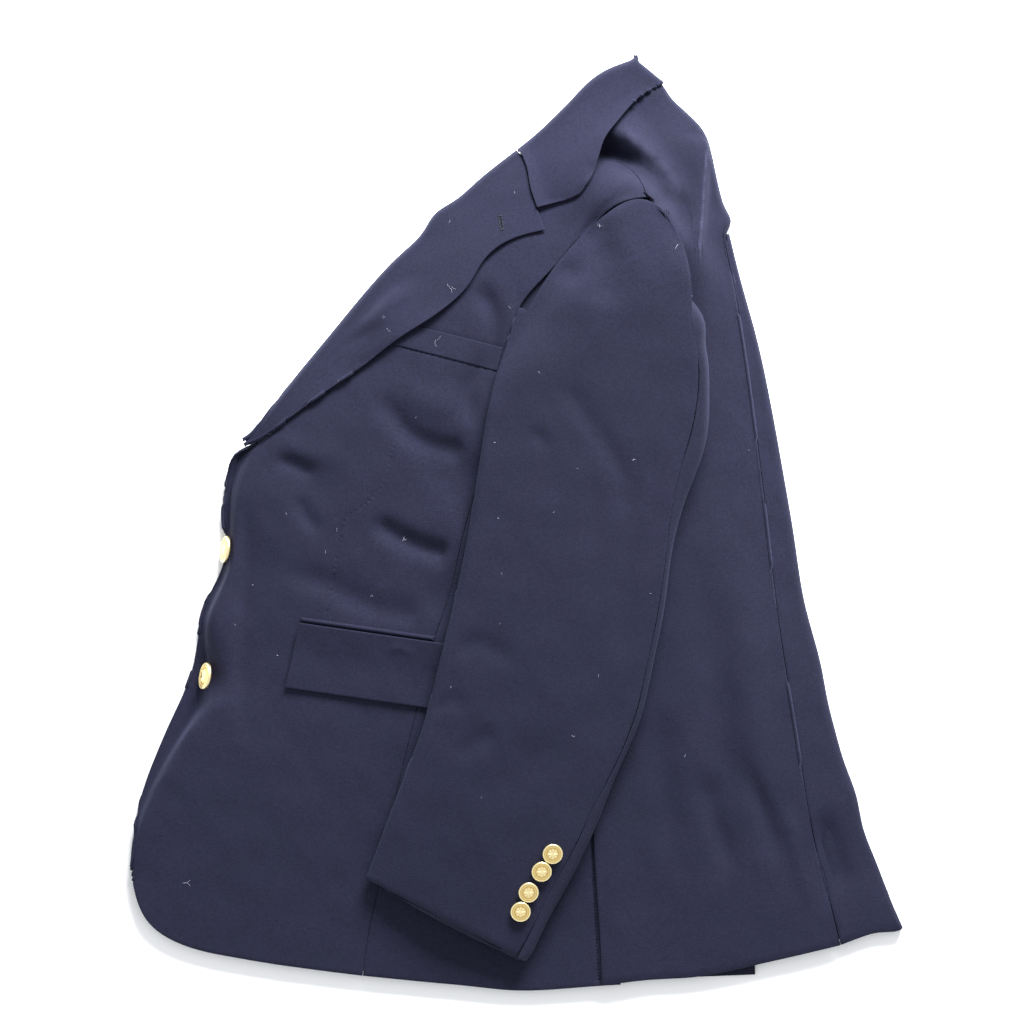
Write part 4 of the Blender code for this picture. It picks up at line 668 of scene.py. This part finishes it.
def thread(bm, line, radius, across=(0, 0, 1), sides=6):
    """Adds a thin thread along a line of points, thinner at its ends."""
    points = [Vector(p) for p in line]
    rings = []
    for k, point in enumerate(points):
        way = points[min(k + 1, len(points) - 1)] - points[max(k - 1, 0)]
        first = way.cross(Vector(across)).normalized()
        second = way.cross(first).normalized()
        thin = radius * (0.4 if k in (0, len(points) - 1) else 1.0)
        turns = [2 * math.pi * s / sides for s in range(sides)]
        round_it = [point + thin * (math.cos(t) * first + math.sin(t) * second) for t in turns]
        rings.append([bm.verts.new(place) for place in round_it])
    for low, high in zip(rings, rings[1:]):
        for s in range(sides):
            bm.faces.new((low[s], low[(s + 1) % sides], high[(s + 1) % sides], high[s]))
    bm.faces.new(rings[0])
    bm.faces.new(rings[-1])


def threads_piece(name, bm, stuff):
    """All threads of one kind as a piece of their own."""
    bmesh.ops.recalc_face_normals(bm, faces=bm.faces)
    piece = finished(name, bm, stuff, keep_tree=False)
    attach(piece, "root")
    return piece


def fibre(name, colour):
    """Twisted fibres with changes of colour along their length."""
    stuff, tree, shader = new_finish(name)
    twist = speckle(tree, scale=2500)
    tree.links.new(mixed(tree, twist, tinted(colour, 0.6), tinted(colour, 1.3)), shader.inputs["Base Color"])
    add_relief(tree, twist, strength=0.4, depth=0.0001)
    socket(shader, "Roughness", 0.7)
    return stuff


def turned_button(name, node, stuff):
    """A gilt button with a raised rim, a ring of beads and a plain rosette, turned about its node's axis."""
    points = coordinates(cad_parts[node].data) / MM
    middle = (points.min(0) + points.max(0)) / 2
    spread = np.linalg.svd(points - points.mean(0), full_matrices=False)[2]
    axis = spread[2] if spread[2][2] > 0 else -spread[2]
    along = (points - middle) @ axis
    radius = np.linalg.norm(points - middle - np.outer(along, axis), axis=1).max()
    low, high = along.min(), along.max()
    first = np.cross(axis, (0, 1, 0))
    first /= np.linalg.norm(first)
    second = np.cross(axis, first)
    sides = 96
    bm = bmesh.new()
    recess = bm.verts.layers.float.new("recess")
    height = high - low
    rings = []
    for share, up, rosette, beads, hollow in BUTTON_PROFILE:
        ring = []
        for k in range(1 if share == 0 else sides):
            turn = 2 * math.pi * k / sides
            petal, bead = math.cos(PETALS * turn), abs(math.cos(BEADS / 2 * turn))
            relief = PETAL_RISE * rosette * petal + BEAD_RISE * beads * bead
            place = middle + axis * (low + height * (up + relief))
            place = place + share * radius * (math.cos(turn) * first + math.sin(turn) * second)
            vert = bm.verts.new(place)
            # painted shade: the hollows, the underside and the sunken side of each petal are marked to be
            # darker
            vert[recess] = hollow + 0.5 * rosette * max(0.0, -petal)
            ring.append(vert)
        rings.append(ring)
    for k in range(sides):
        nxt = (k + 1) % sides
        bm.faces.new((rings[0][0], rings[1][k], rings[1][nxt]))
        for inner, outer in zip(rings[1:], rings[2:]):
            bm.faces.new((inner[k], outer[k], outer[nxt], inner[nxt]))
    bm.faces.new(rings[-1])
    bmesh.ops.recalc_face_normals(bm, faces=bm.faces)
    piece = finished(name, bm, stuff)
    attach(piece, "root")
    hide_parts(node)
    return piece


def gilt():
    """Gilt brass: bright on the relief, darker in its hollows as painted shade, with fine rubbing marks."""
    settings = bpy.context.scene.blazer_buttons
    stuff, tree, shader = new_finish("gilt_brass")
    marks = speckle(tree, scale=900, detail=4)
    bright, dark = tinted(settings.gilt, 1), tinted(settings.hollow_shade, 1)
    # the gilt is darkened towards the hollow colour by the recess value, as painted shade
    tree.links.new(mixed(tree, held_value(tree, "recess"), bright, dark), shader.inputs["Base Color"])
    add_roughness(tree, marks, 0.2, 0.42)
    add_relief(tree, marks, strength=0.15, depth=0.0001)
    socket(shader, "Metallic", 1.0)
    return stuff


class BlazerCloth(bpy.types.PropertyGroup):
    """Sizes and colours of the wool"""
    colour: bpy.props.FloatVectorProperty(
        name="Wool colour", description="Colour of the wool", subtype="COLOR", size=3, min=0, max=1,
        default=(0.0108, 0.0110, 0.0250),
    )
    # a little darker than the wool colour: painted shade for the pieces that lie underneath
    shaded: bpy.props.FloatVectorProperty(
        name="Under sleeve colour", description="Colour of the wool on hidden sides", subtype="COLOR", size=3,
        min=0, max=1, default=(0.0105, 0.0108, 0.0235),
    )
    thickness: bpy.props.FloatProperty(
        name="Cloth thickness", description="Thickness of one panel with its canvas or lining", unit="LENGTH",
        min=0.0005, max=0.003, default=0.0016,
    )
    weave_pitch: bpy.props.FloatProperty(
        name="Weave pitch", description="Distance from one yarn to the next", unit="LENGTH",
        min=0.0002, max=0.003, default=0.0007,
    )
    weave_relief: bpy.props.FloatProperty(
        name="Weave relief", description="How strongly the weave stands out", subtype="FACTOR",
        min=0, max=1, default=0.5,
    )


class BlazerButtons(bpy.types.PropertyGroup):
    """Colours of the gilt buttons"""
    gilt: bpy.props.FloatVectorProperty(
        name="Gilt colour", description="Colour of the rubbed gilt", subtype="COLOR", size=3, min=0, max=1,
        default=(0.98, 0.84, 0.46),
    )
    # painted shade in the hollows of the relief
    hollow_shade: bpy.props.FloatVectorProperty(
        name="Hollow colour", description="Colour in the hollows of the relief", subtype="COLOR", size=3,
        min=0, max=1, default=(0.62, 0.42, 0.12),
    )


class BlazerStage(bpy.types.PropertyGroup):
    """Camera, lights and table"""
    camera_distance: bpy.props.FloatProperty(
        name="Camera distance", description="From the camera to the cloth", unit="LENGTH",
        min=1, max=10, default=3.5,
    )
    frame_width: bpy.props.FloatProperty(
        name="Framed width", description="Width that the camera takes in at the cloth", unit="LENGTH",
        min=0.3, max=3, default=0.86016,
    )
    window_power: bpy.props.FloatProperty(
        name="Window power", description="Strength of the main soft light", unit="POWER",
        min=0, max=2000, default=260,
    )
    room_light: bpy.props.FloatProperty(
        name="Room light", description="Strength of the light from all round", min=0, max=3, default=0.95,
    )


class BlazerOperator:
    """What all operators of the blazer share"""
    bl_options = {"REGISTER", "UNDO"}


class BLAZER_OT_sleeve(BlazerOperator, bpy.types.Operator):
    """Makes the top sleeve and the under sleeve"""
    bl_idname = "blazer.add_sleeve"
    bl_label = "Sleeve"

    def execute(self, context):
        top = cloth_piece(
            "left_top_sleeve_cloth", "left_top_sleeve", wool_of("wool_sleeve", 15),
            creases=SLEEVE_CREASES, worn_highlight=RUBBED_HIGHLIGHT_SLEEVE,
        )
        bm = node_form("left_under_sleeve")
        hidden = set(max(face_regions(bm)[:3], key=mean_height))
        bmesh.ops.delete(bm, geom=list(hidden), context="FACES")
        under = cloth_piece(
            "left_under_sleeve_cloth", "left_under_sleeve", wool_of("wool_under_sleeve", 15, shaded=True),
            bm=bm, edge=(0.3, 0.1), pulls=((158, 188, 16, (-9, 0, -7)), (153, 150, 14, (-3, 0, 0))),
        )
        return {"FINISHED"}


class BLAZER_OT_lapel(BlazerOperator, bpy.types.Operator):
    """Makes the lapel and the collar"""
    bl_idname = "blazer.add_lapel_and_collar"
    bl_label = "Lapel and collar"

    def execute(self, context):
        slit = ((BUTTONHOLE, 0.9, 0.5),)
        lapel = cloth_piece(
            "left_lapel_cloth", "left_lapel", wool_of("wool_lapel", -38), levels=3, seams=slit,
            pulls=((-64, 256, 18, (-5, 4, 0)), (-228, 62, 10, (-4, 2, 0))),
        )
        collar = cloth_piece("collar_cloth", "collar", wool_of("wool_collar", -50), levels=3)
        return {"FINISHED"}


class BLAZER_OT_pockets(BlazerOperator, bpy.types.Operator):
    """Makes the hip pocket's flap and the breast welt"""
    bl_idname = "blazer.add_pockets"
    bl_label = "Pockets"

    def execute(self, context):
        flap = cloth_piece(
            "hip_pocket_flap_cloth", "hip_pocket_flap", wool_of("wool_flap", -8), levels=3,
            creases=BODY_CREASES,
        )
        welt = cloth_piece(
            "breast_welt_cloth", "breast_welt", wool_of("wool_welt", -15), levels=3, lower=1.1,
            creases=BODY_CREASES, edge=(0.4, 0.4),
        )
        return {"FINISHED"}


class BLAZER_OT_body(BlazerOperator, bpy.types.Operator):
    """Makes the front with its pocket jet, the side panel and the two halves of the back"""
    bl_idname = "blazer.add_body"
    bl_label = "Body panels"

    def execute(self, context):
        sleeve, collar = ("left_top_sleeve_cloth",), ("left_lapel_cloth", "collar_cloth")
        front = cloth_piece(
            "left_front_cloth", "left_front", wool_of("wool_body"), levels=3, creases=BODY_CREASES,
            under=sleeve + collar + ("hip_pocket_flap_cloth", "breast_welt_cloth"),
            seams=((DART, 0.7, 0.8), (SHOULDER_SEAM, 0.5, 0.6)), pulls=((-236, 55, 12, (-5, 2, 0)),),
        )
        strip = band(*JET_EDGES, JET_COLUMNS, JET_ROWS)
        for k, vert in enumerate(strip.verts):
            top = top_of("left_front_cloth", vert.co.x, vert.co.y)
            roll = JET_ROUND * math.sin(math.pi * (k // JET_COLUMNS) / JET_ROWS)
            vert.co.z = (JET_HEIGHT if top is None else top) + JET_LIFT + roll
        jet = cloth_piece(
            "hip_pocket_jet_cloth", "hip_pocket_jet", wool_of("wool_flap", -8), levels=1, edge=(0.3, 0.3),
            under=sleeve, bm=strip,
        )
        side = cloth_piece(
            "left_side_panel_cloth", "left_side_panel", wool_of("wool_body"), levels=3, creases=BODY_CREASES,
            under=sleeve, seams=((VENT, 2.0, 1.2),),
        )
        back = cloth_piece(
            "left_back_cloth", "left_back", wool_of("wool_body"), creases=BODY_CREASES, under=sleeve + collar,
            worn_highlight=RUBBED_HIGHLIGHT_BODY, seams=((RUBBED_HIGHLIGHT_BODY[0][0], -0.7, 1.1),),
            pulls=((174, 252, 10, (5, 0, 0)), (116, 362, 10, (0, 7, 0)), (122, 268, 7, (-6, -5, 0))),
        )
        right = cloth_piece(
            "right_back_cloth", "right_back", wool_of("wool_right_back", 4), lower=0.9, creases=BODY_CREASES,
            under=("left_back_cloth",), pulls=((322, -345, 14, (4, -6, 0)),),
        )
        return {"FINISHED"}


class BLAZER_OT_right_half(BlazerOperator, bpy.types.Operator):
    """Makes the right half that lies folded underneath"""
    bl_idname = "blazer.add_right_half"
    bl_label = "Right half underneath"

    def execute(self, context):
        body = ("left_front_cloth", "left_side_panel_cloth", "left_back_cloth", "left_under_sleeve_cloth")
        # the top is open where it is level and lies further inside the walls than the margin
        steep, level, margin = 0.35, 0.6, 30
        bm = node_form("folded_layers")
        walls = [f.calc_center_median() for f in bm.faces if abs(f.normal.z) < steep]
        near_wall = kdtree.KDTree(len(walls))
        for k, place in enumerate(walls):
            near_wall.insert((place.x, place.y, 0), k)
        near_wall.balance()
        middle = []
        for face in bm.faces:
            place = face.calc_center_median()
            if face.normal.z > level and near_wall.find((place.x, place.y, 0))[2] > margin:
                middle.append(face)
        bmesh.ops.delete(bm, geom=middle, context="FACES")
        half = cloth_piece(
            "right_half_cloth", "folded_layers", wool_of("wool_right_half", shaded=True), levels=1,
            creases=BODY_CREASES, under=body, gap=1.2, bm=bm,
        )
        bm = node_form("folded_layers")
        bmesh.ops.delete(bm, geom=[f for f in bm.faces if f.normal.z < 0.3], context="FACES")
        lining = cloth_piece(
            "left_lining_cloth", "folded_layers", wool_of("lining", shaded=True), lower=2.0,
            creases=BODY_CREASES, under=body, gap=1.2, bm=bm,
        )
        strip = band(*HEM_EDGES, HEM_COLUMNS, HEM_ROWS)
        hem = cloth_piece(
            "right_hem_cloth", "folded_layers", wool_of("wool_right_half", shaded=True), levels=1,
            under=body[1:3], bm=strip,
        )
        return {"FINISHED"}


class BLAZER_OT_buttons(BlazerOperator, bpy.types.Operator):
    """Makes the four cuff buttons and the two front buttons"""
    bl_idname = "blazer.add_buttons"
    bl_label = "Buttons"

    def execute(self, context):
        stuff = gilt()
        for node in sorted(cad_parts):
            if "button" in node:
                turned_button(node + "_gilt", node, stuff)
        return {"FINISHED"}


class BLAZER_OT_threads(BlazerOperator, bpy.types.Operator):
    """Makes the lapel's worked buttonhole and the lint on the cloth"""
    bl_idname = "blazer.add_threads"
    bl_label = "Buttonhole and lint"

    def execute(self, context):
        twist = bmesh.new()
        start, end = (Vector(p) for p in BUTTONHOLE)
        way = (end - start).normalized()
        side = Vector((way.y, -way.x))

        def sewn(points):
            """Sews a thread through places, each so far over the cloth there."""
            line = [(place.x, place.y, height_at(place.x, place.y) + up) for place, up in points]
            thread(twist, line, TWIST_RADIUS, across=(way.x, way.y, 0))

        for k in range(STITCH_COUNT):
            middle = start.lerp(end, k / (STITCH_COUNT - 1))
            for turn in (-1, 1):
                sewn([
                    (middle + side * out * turn + way * SWAY * math.sin(SWAY_TURN * k), up)
                    for out, up in STITCH
                ])
        for place in (start, end):
            for step in BAR_STEPS:
                sewn([(place + side * out + way * step, up) for out, up in BAR])
        stuff = fibre("buttonhole_twist", TWIST_COLOUR)
        threads_piece("lapel_buttonhole_stitches", twist, stuff)
        lint = bmesh.new()
        random = np.random.default_rng(11)
        for x, y, length, count in LINT:
            for _ in range(count):
                turn, bend = random.uniform(0, 2 * math.pi), random.uniform(-LINT_BEND, LINT_BEND)
                spot = np.array([x, y]) + random.uniform(-LINT_SPREAD, LINT_SPREAD, 2) * min(length, 3)
                line = []
                for _ in range(LINT_STEPS + 1):
                    height = height_at(*spot)
                    if height is None:
                        break
                    line.append((*spot, height + LINT_LIFT))
                    turn += bend / LINT_STEPS + random.uniform(-LINT_SWAY, LINT_SWAY)
                    spot = spot + length / LINT_STEPS * np.array([math.cos(turn), math.sin(turn)])
                if len(line) > 2:
                    thread(lint, line, random.uniform(*LINT_RADII), sides=5)
        threads_piece("lint_fibres", lint, fibre("lint", LINT_COLOUR))
        return {"FINISHED"}


class BLAZER_OT_stage(BlazerOperator, bpy.types.Operator):
    """Makes the table, the window's light, the room's light and the camera"""
    bl_idname = "blazer.add_stage"
    bl_label = "Table, lights and camera"

    def execute(self, context):
        settings = context.scene.blazer_stage
        scene = context.scene
        scene.view_settings.view_transform = "Standard"
        bm = bmesh.new()
        bmesh.ops.create_grid(bm, x_segments=12, y_segments=12, size=TABLE_REACH)
        mesh = bpy.data.meshes.new("table_top")
        bm.to_mesh(mesh)
        bm.free()
        table = bpy.data.objects.new("table_top", mesh)
        scene.collection.objects.link(table)
        stuff, _, shader = new_finish("pale_board")
        socket(shader, "Base Color", BOARD_COLOUR)
        socket(shader, "Roughness", 0.7)
        mesh.materials.append(stuff)
        world = bpy.data.worlds.new("room")
        scene.world = world
        world.use_nodes = True
        room = world.node_tree.nodes["Background"]
        socket(room, "Color", ROOM_COLOUR)
        socket(room, "Strength", settings.room_light)
        light = bpy.data.lights.new("window_light", "AREA")
        light.shape, light.size, light.size_y = "RECTANGLE", *WINDOW_SIZE
        light.energy, light.color = settings.window_power, WINDOW_COLOUR
        window = bpy.data.objects.new("window_light", light)
        window.location = WINDOW_PLACE
        facing = Vector(WINDOW_AIM) - Vector(WINDOW_PLACE)
        window.rotation_euler = facing.to_track_quat("-Z", "Y").to_euler()
        scene.collection.objects.link(window)
        lens = bpy.data.cameras.new("camera")
        lens.lens = lens.sensor_width * settings.camera_distance / settings.frame_width
        camera = bpy.data.objects.new("camera", lens)
        camera.location = (*CAMERA_PLACE, settings.camera_distance + CLOTH_TOP)
        scene.collection.objects.link(camera)
        scene.camera = camera
        return {"FINISHED"}


OPERATORS = (
    BLAZER_OT_sleeve, BLAZER_OT_lapel, BLAZER_OT_pockets, BLAZER_OT_body, BLAZER_OT_right_half,
    BLAZER_OT_buttons, BLAZER_OT_threads, BLAZER_OT_stage,
)


class BLAZER_PT_panel(bpy.types.Panel):
    """Lists the parts of the blazer and their settings"""
    bl_idname = "BLAZER_PT_panel"
    bl_label = "Folded blazer"
    bl_space_type = "VIEW_3D"
    bl_region_type = "UI"
    bl_category = "Blazer"

    def draw(self, context):
        for group in (context.scene.blazer_cloth, context.scene.blazer_buttons, context.scene.blazer_stage):
            box = self.layout.box()
            for key in group.__annotations__:
                box.prop(group, key)
        for operator in OPERATORS:
            self.layout.operator(operator.bl_idname, text=operator.bl_label)


GROUPS = {"blazer_cloth": BlazerCloth, "blazer_buttons": BlazerButtons, "blazer_stage": BlazerStage}


def register():
    for name, group in GROUPS.items():
        bpy.utils.register_class(group)
        setattr(bpy.types.Scene, name, bpy.props.PointerProperty(type=group))
    for operator in OPERATORS:
        bpy.utils.register_class(operator)
    bpy.utils.register_class(BLAZER_PT_panel)


def unregister():
    bpy.utils.unregister_class(BLAZER_PT_panel)
    for operator in reversed(OPERATORS):
        bpy.utils.unregister_class(operator)
    for name, group in GROUPS.items():
        delattr(bpy.types.Scene, name)
        bpy.utils.unregister_class(group)


def main():
    """Makes the blazer on its stage."""
    register()
    for operator in OPERATORS:
        group, name = operator.bl_idname.split(".")
        getattr(getattr(bpy.ops, group), name)()


if __name__ == "__main__":
    main()
